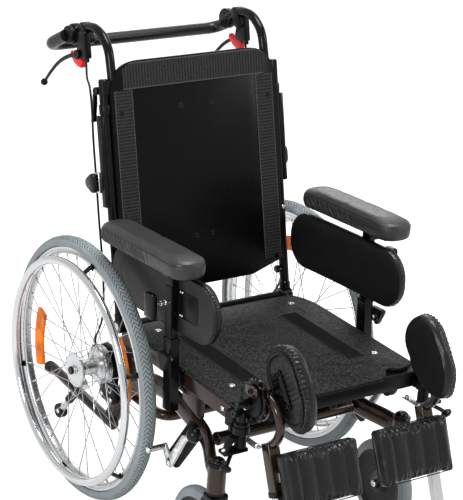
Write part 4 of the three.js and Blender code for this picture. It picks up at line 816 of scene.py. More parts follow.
@dataclass
class Workshop:
    """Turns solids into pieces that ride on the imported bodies.

    Attributes:
        axle_y: The axle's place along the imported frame's Y, in metres.
        made: Names of the pieces made so far.
    """

    axle_y: float
    made: list[str] = field(default_factory=list)

    def metres(self, points: Array) -> Array:
        """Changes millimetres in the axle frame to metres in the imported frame."""
        return np.asarray(points, float) * MILLIMETRE + np.array([0, self.axle_y, 0])

    def piece(
        self, name: str, body: str, parts: Sequence[tuple[Solid, Finish]], nodes: Sequence[str] = (),
        crease: float = 32.0,
    ) -> bpy.types.Object:
        """Makes one piece of several solids.

        Args:
            name: The piece's name.
            body: The body that it rides on.
            parts: Each solid with its finish.
            nodes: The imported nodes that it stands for.
            crease: The angle, in degrees, past which an edge stays sharp.

        Returns:
            The object.
        """
        finishes = list(dict.fromkeys(finish for _, finish in parts))
        whole = joined([solid for solid, _ in parts])
        mesh = bpy.data.meshes.new(name)
        mesh.from_pydata(self.metres(whole.points), [], [*whole.quads.tolist(), *whole.caps])
        for finish in finishes:
            mesh.materials.append(finish.material())
        numbers = [np.full(len(s.quads), finishes.index(f)) for s, f in parts]
        numbers += [np.full(len(s.caps), finishes.index(f)) for s, f in parts]
        mesh.polygons.foreach_set("material_index", np.concatenate(numbers).astype(np.int32))
        layer = mesh.uv_layers.new(name="surface")
        corners = np.zeros((len(mesh.loops), 2))
        corners[: whole.uv.size // 2] = whole.uv.reshape(-1, 2)
        layer.data.foreach_set("uv", corners.ravel())
        self.heal(mesh)
        mesh.shade_smooth()
        mesh.set_sharp_from_angle(angle=math.radians(crease))
        made = bpy.data.objects.new(name, mesh)
        bpy.context.scene.collection.objects.link(made)
        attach(made, body)
        if nodes:
            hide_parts(*nodes)
        self.made.append(name)
        LOG.info("%s: %d faces on %s", name, len(mesh.polygons), body)
        return made

    @staticmethod
    def heal(mesh: bpy.types.Mesh) -> None:
        """Merges doubled corners and turns every face outwards."""
        work = bmesh.new()
        work.from_mesh(mesh)
        bmesh.ops.remove_doubles(work, verts=work.verts, dist=1e-6)
        bmesh.ops.recalc_face_normals(work, faces=work.faces)
        work.to_mesh(mesh)
        work.free()


# ---- Wheels ---------------------------------------------------------------------------------


@dataclass
class DriveWheel:
    """A 24 inch wheel: tyre, laced rim, hub, reflectors and handrim."""

    radius: float = 305.0
    x: float = 294.0
    tyre_section: float = 17.0
    rim_outer: float = 281.7
    rim_inner: float = 264.0
    rim_half: float = 12.0
    outer_flange_x: float = 313.0
    inner_flange_x: float = 257.0
    flange_radius: float = 40.0
    spoke_circle: float = 36.0
    spokes: int = 36
    cross_degrees: float = 60.0
    handrim_radius: float = 254.6
    handrim_x: float = 332.0
    handrim_tube: float = 9.5
    stand_offs: int = 6
    first_stand_off: float = 40.0

    @property
    def axle(self) -> tuple[float, float, float]:
        """The wheel's centre line at X = 0."""
        return (0.0, 0.0, self.radius)

    def ring(self, profile: Sequence[Sequence[float]], facets: int = 144, closed: bool = True) -> Solid:
        """Turns a profile of radius and X about the axle."""
        return turned(profile, self.axle, (1, 0, 0), facets, closed)

    def tyre(self) -> Solid:
        """Gives the tyre: a round section, closed by its bead's flat, with the tread cut into its crown."""
        centre = self.radius - self.tyre_section
        reach = math.acos((self.rim_outer + 0.5 - centre) / self.tyre_section)
        t = np.concatenate(
            [np.linspace(reach, 1.12, 7), np.linspace(1.06, -1.06, 33), np.linspace(-1.12, -reach, 7)]
        )
        section = np.stack(
            [centre + self.tyre_section * np.cos(t), self.x + self.tyre_section * np.sin(t)], 1
        )
        smooth = self.ring(section, 6 * GREY_RUBBER.blocks)
        across = t * self.tyre_section
        turn = np.arange(6 * GREY_RUBBER.blocks) / (6 * GREY_RUBBER.blocks)
        depth = 1.3 * GREY_RUBBER.cut(across[:, None], turn[None, :]).ravel()
        spoke = smooth.points - np.array([self.x, *self.axle[1:]])
        hoop = unit(spoke * [0, 1, 1]) * (self.radius - self.tyre_section)
        points = smooth.points - unit(spoke - hoop) * depth[:, None]
        rows = smooth.quads // (6 * GREY_RUBBER.blocks)
        return replace(smooth, points=points, uv=np.stack([across[rows] / 100, smooth.uv[..., 1]], -1))

    def rim(self) -> Solid:
        """Gives the box rim, with rolled lips, a groove on both walls and a flat spoke bed."""
        r, i, w, x = self.rim_outer, self.rim_inner, self.rim_half, self.x
        half = [(r, w - 2), (r - 1.2, w), (r - 6, w), (r - 7, w - 0.8), (r - 8.4, w - 0.8), (r - 9.4, w)]
        half += [(i + 6, w), (i + 2.5, w - 1.6), (i + 0.4, w - 4.5), (i, w - 7.5)]
        profile = [(a, x + b) for a, b in half] + [(a, x - b) for a, b in reversed(half)]
        return self.ring(profile)

    def hub(self) -> Solid:
        """Gives the turned hub: two flanges, a waisted barrel and the ribbed brake drum."""
        o, i, f = self.outer_flange_x, self.inner_flange_x, self.flange_radius
        profile = [
            (6.6, i - 19), (40, i - 19), (44, i - 17), (44, i - 14), (42, i - 13), (44, i - 12), (44, i - 9)
        ]
        profile += [
            (42, i - 8), (44, i - 7), (44, i - 4), (41, i - 3), (f, i - 2), (f + 0.6, i), (f, i + 2),
            (24, i + 3)
        ]
        profile += [
            (19, i + 7), (17.2, (i + o) / 2), (19, o - 7), (24, o - 3), (f, o - 2), (f + 0.6, o), (f, o + 2)
        ]
        profile += [(28, o + 2.4), (21, o + 3.4), (14.4, o + 4.2), (13.6, o + 5), (6.6, o + 5)]
        return self.ring(profile, 96)

    def flange_marks(self) -> Solid:
        """Gives the eyelets of the spoke holes and a ring of bosses on the outer flange."""
        eyes = []
        for k in range(self.spokes // 2):
            angle = FULL_TURN * k / (self.spokes // 2)
            eyes.append(self.on_face(self.outer_flange_x + 2, self.spoke_circle, angle, 2.2, 1.2))
            eyes.append(self.on_face(self.outer_flange_x + 2.2, 29.0, angle + 0.17, 1.6, 0.6))
        return joined(eyes)

    def on_face(self, x: float, circle: float, angle: float, radius: float, high: float) -> Solid:
        """Gives a small stud on a face across the axle, at a circle's radius and angle."""
        y, z = circle * math.cos(angle), self.radius + circle * math.sin(angle)
        return rod((x, y, z), (x + high, y, z), radius, 0.3, 12)

    def spoke_set(self) -> tuple[Solid, Solid]:
        """Laces the wheel.

        Spoke i leaves its flange at one place on the spoke circle and meets the rim the cross angle
        further on, forwards and backwards by turns, so that each crosses its neighbours.

        Returns:
            The spokes and their nipples.
        """
        wires, nipples = [], []
        pitch = FULL_TURN / (self.spokes // 2)
        for i in range(self.spokes):
            outer, k = i % 2 == 0, i // 2
            lead = 1 if k % 2 == 0 else -1
            hub_angle = pitch * k + (0 if outer else pitch / 2)
            rim_angle = hub_angle + lead * math.radians(self.cross_degrees)
            x = (self.outer_flange_x if outer else self.inner_flange_x) + lead * 2.0
            start = self.at(self.spoke_circle, hub_angle, x)
            end = self.at(self.rim_inner + 3, rim_angle, self.x)
            along = unit(end - start)
            wires.append(rod(start, end, 1.05, 0.2, 8))
            nipples.append(rod(end - along * 14, end, 1.9, 0.4, 10, 2.6))
        return joined(wires), joined(nipples)

    def at(self, radius: float, angle: float, x: float) -> Array:
        """Gives the point at a radius and angle about the axle."""
        return np.array([x, radius * math.cos(angle), self.radius + radius * math.sin(angle)])

    def reflector(self, middle_degrees: float) -> Solid:
        """Gives a curved reflector between the spokes: a strip that follows the rim at 200 mm."""
        t = np.radians(np.linspace(middle_degrees - 20, middle_degrees + 20, 24))
        path = np.stack([np.full_like(t, self.x + 3), 199 * np.cos(t), self.radius + 199 * np.sin(t)], 1)
        taper = np.interp(np.linspace(0, 1, 24), [0, 0.04, 0.96, 1], [0.86, 1, 1, 0.86])
        return sweep(path, soft_square(3.6, 17.5, 1.2), (1, 0, 0), scale=taper)

    def handrim(self) -> tuple[Solid, Solid]:
        """Gives the chromed ring and its black stand-offs."""
        tube = oval(self.handrim_tube, self.handrim_tube, 28)
        ring = self.ring(tube + [self.handrim_radius, self.handrim_x], 160)
        stands = []
        face = self.x + self.rim_half + 0.3
        for k in range(self.stand_offs):
            angle = math.radians(self.first_stand_off) + FULL_TURN * k / self.stand_offs
            line = [
                self.at(272, angle, face), self.at(270, angle, face + 6),
                self.at(258, angle, self.handrim_x - 5)
            ]
            across = (0, -math.sin(angle), math.cos(angle))
            stands.append(sweep(curve_through(line, 6), soft_square(5.6, 2.4, 1.4), across))
            foot = [self.at(276, angle, face + 1.2), self.at(264, angle, face + 1.2)]
            stands.append(sweep(np.array(foot), soft_square(6.5, 1.2, 0.8), across))
        return ring, joined(stands)

    def make(self, shop: Workshop, side: Side) -> None:
        """Makes one wheel's pieces."""
        body = side.node("wheel")
        shop.piece(
            side.node("grey_tyre"), body, [(self.tyre().on(side), GREY_RUBBER)], [side.node("tyre")],
        )
        wires, nipples = self.spoke_set()
        parts = [(self.rim(), ALUMINIUM), (self.hub(), ALUMINIUM), (self.flange_marks(), STEEL)]
        parts += [(wires, SPOKE_STEEL), (nipples, STEEL)]
        shop.piece(
            side.node("laced_wheel"), body, [(s.on(side), f) for s, f in parts],
            [side.node("spoked_wheel")],
        )
        middles = (0.0, 158.0) if side is Side.RIGHT else (78.0, 240.0)
        reflectors = [(self.reflector(angle).on(side), AMBER) for angle in middles]
        shop.piece(side.node("reflectors"), body, reflectors)
        ring, stands = self.handrim()
        shop.piece(
            side.node("push_rim"), body, [(ring.on(side), CHROME), (stands.on(side), SHINY_PLASTIC)],
            [side.node("handrim")],
        )


@dataclass
class Caster:
    """A front caster: fork, stem cap, spoked centre and grey tyre."""

    x: float = 245.0
    y: float = -490.0
    trail: float = 45.0
    radius: float = 100.0
    head_low: float = 212.0
    head_high: float = 285.0

    def wheel(self) -> list[tuple[Solid, Finish]]:
        """Gives the tyre, the dished centre and the hub."""
        axle = (self.x, self.y + self.trail, self.radius)
        tread = [
            (78, 15), (88, 15), (95, 12.5), (99, 7), (100, 0), (99, -7), (95, -12.5), (88, -15), (78, -15)
        ]
        centre = [(77.8, 14), (72, 10), (60, 8), (32, 8.5), (24, 15), (19, 16.4), (5.4, 16.4)]
        dish = centre + [(r, -h) for r, h in reversed(centre)]
        return [
            (turned(tread, axle, (1, 0, 0), 72, True), CASTER_RUBBER),
            (turned(dish, axle, (1, 0, 0), 72, True), MATT_PLASTIC)
        ]

    def fork(self) -> list[tuple[Solid, Finish]]:
        """Gives the crown, two legs, stem, cap and axle nuts."""
        x, y, axle_y = self.x, self.y, self.y + self.trail
        crown = plate(box_outline(x - 22.3, -511, x + 22.3, y + 19, 9), "z", 200, self.head_low - 0.5, 2)
        leg = outline(
            [
                (y - 18, 203), (y + 19, 203), (axle_y + 12, 104), (axle_y + 6, 88), (axle_y - 8, 88),
                (axle_y - 13, 106)
            ],
            12
        )
        legs = [plate(leg, "x", x + a, x + b, 1.4) for a, b in ((17.6, 22.4), (-22.4, -17.6))]
        stem = rod((x, y, 202), (x, y, self.head_high + 4.6), 7.6)
        cap = turned(
            [(15.6, 0.4), (16, 3), (14.6, 6.6), (11, 9.8), (6, 11.8), (1, 12.4)], (x, y, self.head_high),
            (0, 0, 1)
        )
        axle = rod((x - 22, axle_y, self.radius), (x + 22, axle_y, self.radius), 4.8)
        nuts = [hex_bolt((x + s * 22.2, axle_y, self.radius), (s, 0, 0), 7.5, 4.5) for s in (1, -1)]
        return [
            (joined([crown, *legs]), GLOSS_BLACK), (joined([stem, axle, *nuts]), STEEL),
            (cap, SHINY_PLASTIC)
        ]

    def make(self, shop: Workshop, side: Side) -> None:
        """Makes one caster's pieces."""
        wheel = [(s.on(side), f) for s, f in self.wheel()]
        shop.piece(
            side.node("caster_tyre"), side.node("caster_wheel"), wheel, [side.node("caster_wheel")],
        )
        fork = [(s.on(side), f) for s, f in self.fork()]
        shop.piece(
            side.node("caster_yoke"), side.node("caster_fork"), fork, [side.node("caster_fork")],
        )


# ---- Base frame -----------------------------------------------------------------------------


@dataclass
class BaseFrame:
    """The base: two oval arches, lower tubes, two cross tubes, the axle plates and what hangs on them."""

    x: float = 195.0
    half_wide: float = 13.0
    half_high: float = 24.0
    lower_x: float = 205.0
    lower_radius: float = 12.5
    tilt_y: float = -45.0
    tilt_z: float = 355.0
    caster_x: float = 245.0
    caster_y: float = -490.0
    lock_y: float = -335.0
    lock_z: float = 215.0
    tipper_y: float = 195.0
    tipper_z: float = 157.0

    def arch_line(self) -> Array:
        """Gives the arch's centre line, from the lower tube up, over and down to the caster head."""
        x, head = self.x, self.caster_x
        points = [(x, 24, 150), (x, -28, 238), (x, -105, 296), (x, -200, 316), (x, -300, 298)]
        points += [(x + 3, -370, 280), (head - 8, -458, 262), (head, -492, 256)]
        return curve_through(points, 10)

    def side_parts(self) -> list[tuple[Solid, Finish]]:
        """Gives one side frame's solids."""
        x, y0 = self.caster_x, self.caster_y
        arch = sweep(self.arch_line(), oval(self.half_wide, self.half_high, 32))
        head = turned([(18, 212), (20, 214), (20, 283), (18, 285)], (x, y0, 0), (0, 0, 1))
        bands = [turned([(20.6, a), (20.6, a + 5)], (x, y0, 0), (0, 0, 1)) for a in (213, 279)]
        lower = rod((self.lower_x, -5, 142), (self.lower_x, 300, 165), self.lower_radius, 1.5)
        boot = turned(
            [(13, 0), (14.3, 3), (14.4, 27), (12, 31.4), (5, 33)], (self.lower_x, 285, 162), (0, 33, -2.5)
        )
        stand = plate(
            outline([(-108, 285), (-26, 240), (-22, 362), (-68, 362)], 12), "x", 186.5, 203.5, 2.0
        )
        pin = rod((200, self.tilt_y, self.tilt_z), (217, self.tilt_y, self.tilt_z), 5.9)
        pin_head = hex_bolt((213.6, self.tilt_y, self.tilt_z), (1, 0, 0), 9.8, 3.4)
        stop = plate(outline([(-350, 310), (-272, 310), (-272, 384), (-350, 384)], 8), "x", 190, 200, 1.5)
        shelf = brick((190, -340, 373), (234, -282, 384.6), 1.5, 3)
        bracket = plate(
            outline(
                [(195, 300), (208, 300), (258, 239), (258, 206.5), (246, 206.5), (195, 264)], 4
            ), "y", -349, -321, 1.2
        )
        lock_pin = rod((254, self.lock_y, self.lock_z), (267, self.lock_y, self.lock_z), 4.9)
        lock_head = hex_bolt((266.5, self.lock_y, self.lock_z), (1, 0, 0), 8.3, 3.2)
        tipper_pin = rod((168.2, self.tipper_y, self.tipper_z), (205, self.tipper_y, self.tipper_z), 4.9)
        inlay = self.inlay()
        return [
            (joined([arch, head, stand, stop, shelf, lower]), BRONZE), (joined(bands), SATIN_BLACK),
            (boot, RUBBER),
            (bracket, GLOSS_BLACK), (joined([pin, pin_head, lock_pin, lock_head, tipper_pin]), STEEL),
            (inlay, SATIN_BLACK),
        ]

    def inlay(self) -> Solid:
        """Gives the raised oval rib along the arch's outer face, near the front."""
        line = self.arch_line()
        run = line[(line[:, 1] < -330) & (line[:, 1] > -462)]
        ahead = unit(np.gradient(run, axis=0))
        up = unit(np.cross(ahead, [1, 0, 0]))
        up *= np.sign(up[:, 2:3])
        t = np.linspace(0, 1, len(run))
        bulge = 5.6 * np.sqrt(np.clip(1 - (2 * t - 1) ** 4, 0, 1))[:, None]
        out = np.array([self.half_wide - 0.1, 0, 0])
        loop = np.concatenate([run + up * bulge + out, (run - up * bulge + out)[::-1]])
        return sweep(loop, oval(0.9, 0.9, 8), (1, 0, 0), closed=True)

    def cross_tubes(self, shop: Workshop) -> None:
        """Makes the front and rear cross tubes with their joint rings and spring ears."""
        front = rod((-181, -385, 277), (181, -385, 277), 14, 0.5, 36)
        saddles = [rod((s * 172, -385, 277), (s * 181.4, -385, 277), 15.2, 2, 36) for s in (1, -1)]
        shop.piece(
            "front_crossbar", "base", [(joined([front, *saddles]), BRONZE)], ["front_cross_tube"],
        )
        corners = [(-169, 12, 222), (-169, -155, 222), (169, -155, 222), (169, 12, 222)]
        bow = sweep(bent_line(corners, 40, 12), oval(12.5, 12.5, 28), (0, 0, 1))
        ears = [plate(strap_outline((-155, 222), 11, (-155, 248), 9), "x", a, a + 5, 1) for a in (9, -14)]
        pin = rod((-15.5, -155, 248), (15.5, -155, 248), 4)
        shop.piece(
            "rear_bow", "base", [
                (joined([bow, *ears]), BRONZE), (pin, STEEL)
            ], ["rear_cross_tube"]
        )

    def axle_plate(self, shop: Workshop, side: Side) -> None:
        """Makes an axle plate with spare holes' rims, black discs of painted shade in them, the hub's stub axle
        and its black button.
        """
        face, outer, axle_z = 208.3, 220.3, 305.0
        shape = plate(box_outline(-20, 200, 45, 340, 14), "x", face, outer, 1.5)
        boss = rod((219, 0, axle_z), (236.2, 0, axle_z), 17, 1.5)
        stop = brick((216, 36, 314), (236, 62, 326), 1.0, 2)
        stub = rod((220, 0, axle_z), (319, 0, axle_z), 5.9)
        rings = [
            turned(
                [(9, 0), (9, 0.8), (6.4, 0.8), (6.4, 0)], (outer - 0.2, 0, z), (1, 0, 0), 28, True
            ) for z in (265, 235)
        ]
        # Painted shade: black rubber discs fill the spare holes' rims where the openings would show dark.
        spare_hole_shade_discs = [rod((outer - 0.3, 0, z), (outer + 0.15, 0, z), 6.2, 0.1) for z in (265, 235)]
        bolts = [
            hex_bolt((outer, y, z), (1, 0, 0), 6.5, 4.5) for y,
            z in ((-8, 212), (33, 212), (33, 300), (33, 272))
        ]
        collar = turned([(10.6, 0.4), (10.8, 2.4), (9.2, 3.4), (7, 3.6)], (318, 0, axle_z), (1, 0, 0))
        button = turned([(9.4, 3), (9.6, 7.4), (8, 9), (3, 9.3), (0.5, 9)], (318, 0, axle_z), (1, 0, 0))
        parts = [
            (joined([shape, boss, stop]), SATIN_BLACK), (joined([stub, *rings, *bolts, collar]), STEEL)
        ]
        parts += [(joined(spare_hole_shade_discs), RUBBER), (button, SHINY_PLASTIC)]
        shop.piece(
            side.node("axle_mount"), "base", [(s.on(side), f) for s, f in parts], [side.node("axle_plate")],
        )

    def wheel_lock(self, shop: Workshop, side: Side) -> None:
        """Makes a wheel lock: cast crank and shoe arm, roller shoe, lever and ball grip."""
        y, z = self.lock_y, self.lock_z
        crank = plate(strap_outline((y, z), 11, (-312, 245), 7.5), "x", 258.4, 266.2, 1.8)
        arm = plate(strap_outline((y, z), 11, (-385, 296), 8), "x", 258.4, 266.2, 1.8)
        knee = ball((262.3, -362, 258), 9.5)
        rivets = [
            hex_bolt((266.1, a, b), (1, 0, 0), 4.2, 2.2) for a, b in ((-352, 243), (-374, 279), (-322, 233))
        ]
        shoe = rod((258.6, -312, 245), (307.6, -312, 245), 6.8, 1.2)
        lever = rod((262.3, -382, 292), (262.3, -410, 313), 6.4, 1)
        grip = ball((262.3, -421, 321), 16.8, 36)
        parts = [
            (joined([crank, arm, knee, lever]), WHITE_ALLOY), (joined([shoe, *rivets]), STEEL),
            (grip, SHINY_PLASTIC)
        ]
        shop.piece(
            side.node("parking_lever"), side.node("wheel_lock"), [(s.on(side), f) for s, f in parts],
            [side.node("wheel_lock_lever")],
        )

    def anti_tipper(self, shop: Workshop, side: Side) -> None:
        """Makes an anti-tipper: eye, stay with a black sleeve, and its small roller."""
        y, z = self.tipper_y, self.tipper_z
        foot_y, foot_z = 292.0, 44.0
        eye = turned([(5.4, 0), (14, 0), (14, 18), (5.4, 18)], (171, y, z), (1, 0, 0), 36, True)
        stay = rod((180, y + 4, z - 5), (180, foot_y - 8, foot_z + 9), 8.8)
        sleeve = rod((180, y + 34, z - 39), (180, y + 58, z - 67), 11.5, 1.5)
        roller = turned(
            [(5, -9), (12, -9), (16, -10), (18, -7), (18, 7), (16, 10), (12, 9), (5, 9)],
            (180, foot_y, foot_z), (1, 0, 0), 40, True
        )
        hub = rod((170.2, foot_y, foot_z), (189.8, foot_y, foot_z), 6)
        parts = [(joined([eye, stay]), ALUMINIUM), (joined([sleeve, roller]), RUBBER), (hub, STEEL)]
        shop.piece(
            side.node("tip_guard"), side.node("anti_tipper"), [(s.on(side), f) for s, f in parts],
            [side.node("anti_tipper")],
        )

    def make(self, shop: Workshop) -> None:
        """Makes the whole base."""
        for side in Side:
            parts = [(s.on(side), f) for s, f in self.side_parts()]
            shop.piece(side.node("side_arch"), "base", parts, [side.node("base_frame")])
            self.axle_plate(shop, side)
            self.wheel_lock(shop, side)
            self.anti_tipper(shop, side)
        self.cross_tubes(shop)


# ---- Seat -----------------------------------------------------------------------------------


@dataclass
class GasStrut:
    """A gas spring drawn from its foot pin to its head pin."""

    foot: tuple[float, float]
    head: tuple[float, float]
    cylinder_long: float
    rod_from: float

    def make(self, shop: Workshop, name: str) -> None:
        """Makes the cylinder and the rod; name is tilt or recline."""
        foot, head = np.array([0, *self.foot]), np.array([0, *self.head])
        along = unit(head - foot)
        barrel = turned(
            [
                (7, 3), (7, 16), (12, 19.4), (13, 21), (13, self.cylinder_long - 4),
                (11.6, self.cylinder_long), (5, self.cylinder_long)
            ],
            foot, along, 36,
        )
        ring = turned([(13.5, 30), (13.5, 37), (13, 38), (13, 29)], foot, along, 36, True)
        eyes = [
            turned([(r, -6.8), (9, -6.8), (9, 6.8), (r, 6.8)], c, (1, 0, 0), 32, True) for r,
            c in ((4.4, foot), (6.6, head))
        ]
        shaft = rod(foot + along * self.rod_from, head - along * 7.5, 4.4)
        shop.piece(
            f"{name}_strut_barrel", f"{name}_cylinder",
            [(joined([barrel, eyes[0]]), GLOSS_BLACK), (ring, SATIN_BLACK)],
            [f"{name}_spring_cylinder"],
        )
        shop.piece(
            f"{name}_strut_shaft", f"{name}_rod", [(joined([shaft, eyes[1]]), CHROME)],
            [f"{name}_spring_rod"]
        )


@dataclass
class SeatFrame:
    """The seat: rails with pivot cheeks, front box tube, rear tube, hard board and its hook strips."""

    rail_x: float = 222.0
    rail_half: float = 12.5
    rail_low: float = 385.0
    rail_top: float = 422.7
    front_y: float = -509.7
    rear_y: float = -100.0
    board_low: float = 423.0
    board_top: float = 430.0
    hanger_x: float = 240.0
    hanger_y: float = -558.0
    strip_x: tuple[float, float] = (118.0, 160.0)
    strip_y: tuple[float, float] = (-440.0, -180.0)

    def rail(self) -> list[tuple[Solid, Finish]]:
        """Gives a side rail with its cheek, pivot washers and end plug."""
        body = plate(
            box_outline(
                self.rail_x - self.rail_half, self.rail_low, self.rail_x + self.rail_half, self.rail_top, 5
            ),
            "y", self.front_y, self.rear_y, 1.0,
        )
        cheek = plate(
            outline(
                [(-61, 339), (-29, 339), (-30, 431), (-154, 415), (-170, 385)], 14
            ), "x", 209.2, 213.2, 1.0
        )
        plug = plate(box_outline(211, 387, 233, 421, 4), "y", self.rear_y, self.rear_y + 2.4, 1.2)
        washers = [
            turned([(10.5, 0), (10.5, 1), (7, 1), (7, 0)], (208.6, y, z), (1, 0, 0), 28, True) for y,
            z in ((-45, 355),)
        ]
        bolts = [hex_bolt((234.4, y, 404), (1, 0, 0), 6, 4) for y in (-480, -250, -160)]
        return [(joined([body, cheek]), BRONZE), (plug, RUBBER), (joined(washers + bolts), STEEL)]

    def front_tube(self) -> list[tuple[Solid, Finish]]:
        """Gives the front box tube, its end caps, lugs, tongue, spring ears and two pad buttons."""
        tube = brick((-248, -540, 385), (248, -510, 420), 2.0, 2.5)
        caps = [brick((s * 248, -538.6, 386.4), (s * 250, -511.4, 418.6), 0.8, 2) for s in (1, -1)]
        tongue = brick((-20, -525, 404), (20, -320, 419.7), 1.5, 3)
        ears = []
        for y in (-450, -335):
            ears += [plate(strap_outline((y, 386), 10, (y, 404), 15), "x", a, a + 5, 1) for a in (9, -14)]
        pins = [rod((-15.5, y, 386), (15.5, y, 386), 4) for y in (-450, -335)]
        lugs = []
        for s in (1, -1):
            x = s * self.hanger_x
            ring = turned(
                [(11.8, 385), (18, 385), (18, 400), (11.8, 400)], (x, self.hanger_y, 0), (0, 0, 1), 40, True
            )
            lugs += [ring, brick((x - 18, -546.5, 385), (x + 18, -536, 400), 0.8, 1.5)]
        buttons = [
            turned(
                [(9, 0), (9, -8), (6, -12), (2, -12.6)], (x, -531, 385.5), (0, 0, 1), 28
            ) for x in (-60, 14, 160)
        ]
        return [
            (joined([tube, tongue, *ears, *lugs]), SATIN_BLACK), (joined(pins), STEEL),
            (joined(caps + buttons), RUBBER)
        ]

    def board_outline(self) -> Array:
        """Gives the board's outline: broad rear corners, and a front lip between two wave cut-outs."""
        t = np.linspace(0, 1, 12)[:, None]

        def curve(*p: tuple[float, float]) -> Array:
            """Gives the Bezier curve of three or four points."""
            q = [np.array(c, float) for c in p]
            if len(q) == 3:
                return (1 - t) ** 2 * q[0] + 2 * t * (1 - t) * q[1] + t**2 * q[2]
            near, far = (1 - t) ** 3 * q[0] + 3 * t * (1 - t) ** 2 * q[1], 3 * t**2 * (1 - t) * q[2] + t**3 * q[3]
            return near + far

        half = np.concatenate([
            curve((190, -85), (238, -85), (238, -190)),
            curve((238, -500), (238, -524), (216, -524)),
            curve((216, -524), (182, -537), (182, -517), (168, -517))[1:],
            curve((168, -517), (150, -517), (150, -555), (114, -555))[1:],
        ])
        return np.concatenate([half, half[::-1] * [-1, 1]])

    def board(self) -> list[tuple[Solid, Finish]]:
        """Gives the board, thin black sheets of painted shade over its slotted openings with their bolts, and the
        two hook strips.
        """
        body = plate(self.board_outline(), "z", self.board_low, self.board_top, 1.4)
        slot_shade_sheets, bolts, strips, hems = [], [], [], []
        low, high = self.strip_y
        for s in (1, -1):
            for y in (-133, -441):
                x = s * (181 + (-133 - y) * 0.024)
                # Painted shade: a thin black sheet stands for the dark of each opening.
                slot_shade_sheets.append(
                    plate(
                        box_outline(x - 2.2, y - 62, x + 2.2, y - 3, 2.1), "z", self.board_top - 0.2,
                        self.board_top + 0.25, 0.1
                    )
                )
                bolts.append(
                    turned(
                        [(7.5, 0), (7.3, 1.6), (4.6, 2.8), (2.6, 2.4), (2.2, 1)], (x, y, self.board_top),
                        (0, 0, 1), 28
                    )
                )
            inner, outer = sorted((s * self.strip_x[0], s * self.strip_x[1]))
            strip = np.array(
                [[0.5 * (inner + outer), y, self.board_top + 0.6] for y in np.linspace(low, high, 24)]
            )
            tape = sweep(strip, soft_square(0.5 * (outer - inner), 0.65, 0.3), (1, 0, 0))
            strips.append(ruled(tape, 1, 0, 0.5 * (inner + outer), 0.5 * (outer - inner)))
            for x in (inner, outer):
                edge = np.array([[x, y, self.board_top + 0.5] for y in np.linspace(low, high, 12)])
                hems.append(sweep(edge, oval(1.3, 0.8, 10), (1, 0, 0)))
            hems.append(
                rod((inner, low, self.board_top + 0.6), (outer, low, self.board_top + 0.6), 0.9, 0.2, 10)
            )
        return [
            (body, SEAT_BOARD), (joined(slot_shade_sheets), RUBBER), (joined(bolts), STEEL),
            (joined(strips), FINE_TAPE), (joined(hems), THREAD)
        ]

    def make(self, shop: Workshop) -> None:
        """Makes the seat frame, the board and both gas springs."""
        for side in Side:
            rail = [(s.on(side), f) for s, f in self.rail()]
            shop.piece(side.node("seat_side"), "seat", rail, [side.node("seat_rail")])
        shop.piece("seat_front_box", "seat", self.front_tube(), ["seat_front_tube"])
        rear = [(rod((-208.7, -130, 408), (208.7, -130, 408), 10), SATIN_BLACK)]
        shop.piece("seat_rear_bar", "seat", rear, ["seat_rear_tube"])
        shop.piece("seat_board", "seat", self.board(), ["seat_plate"], 40)
        GasStrut(foot=(-155, 248), head=(-450, 386), cylinder_long=200, rod_from=116).make(shop, "tilt")
        recline = GasStrut(foot=(-335, 386), head=(-56.05, 371.14), cylinder_long=165, rod_from=100)
        recline.make(shop, "recline")


# ---- Back -----------------------------------------------------------------------------------


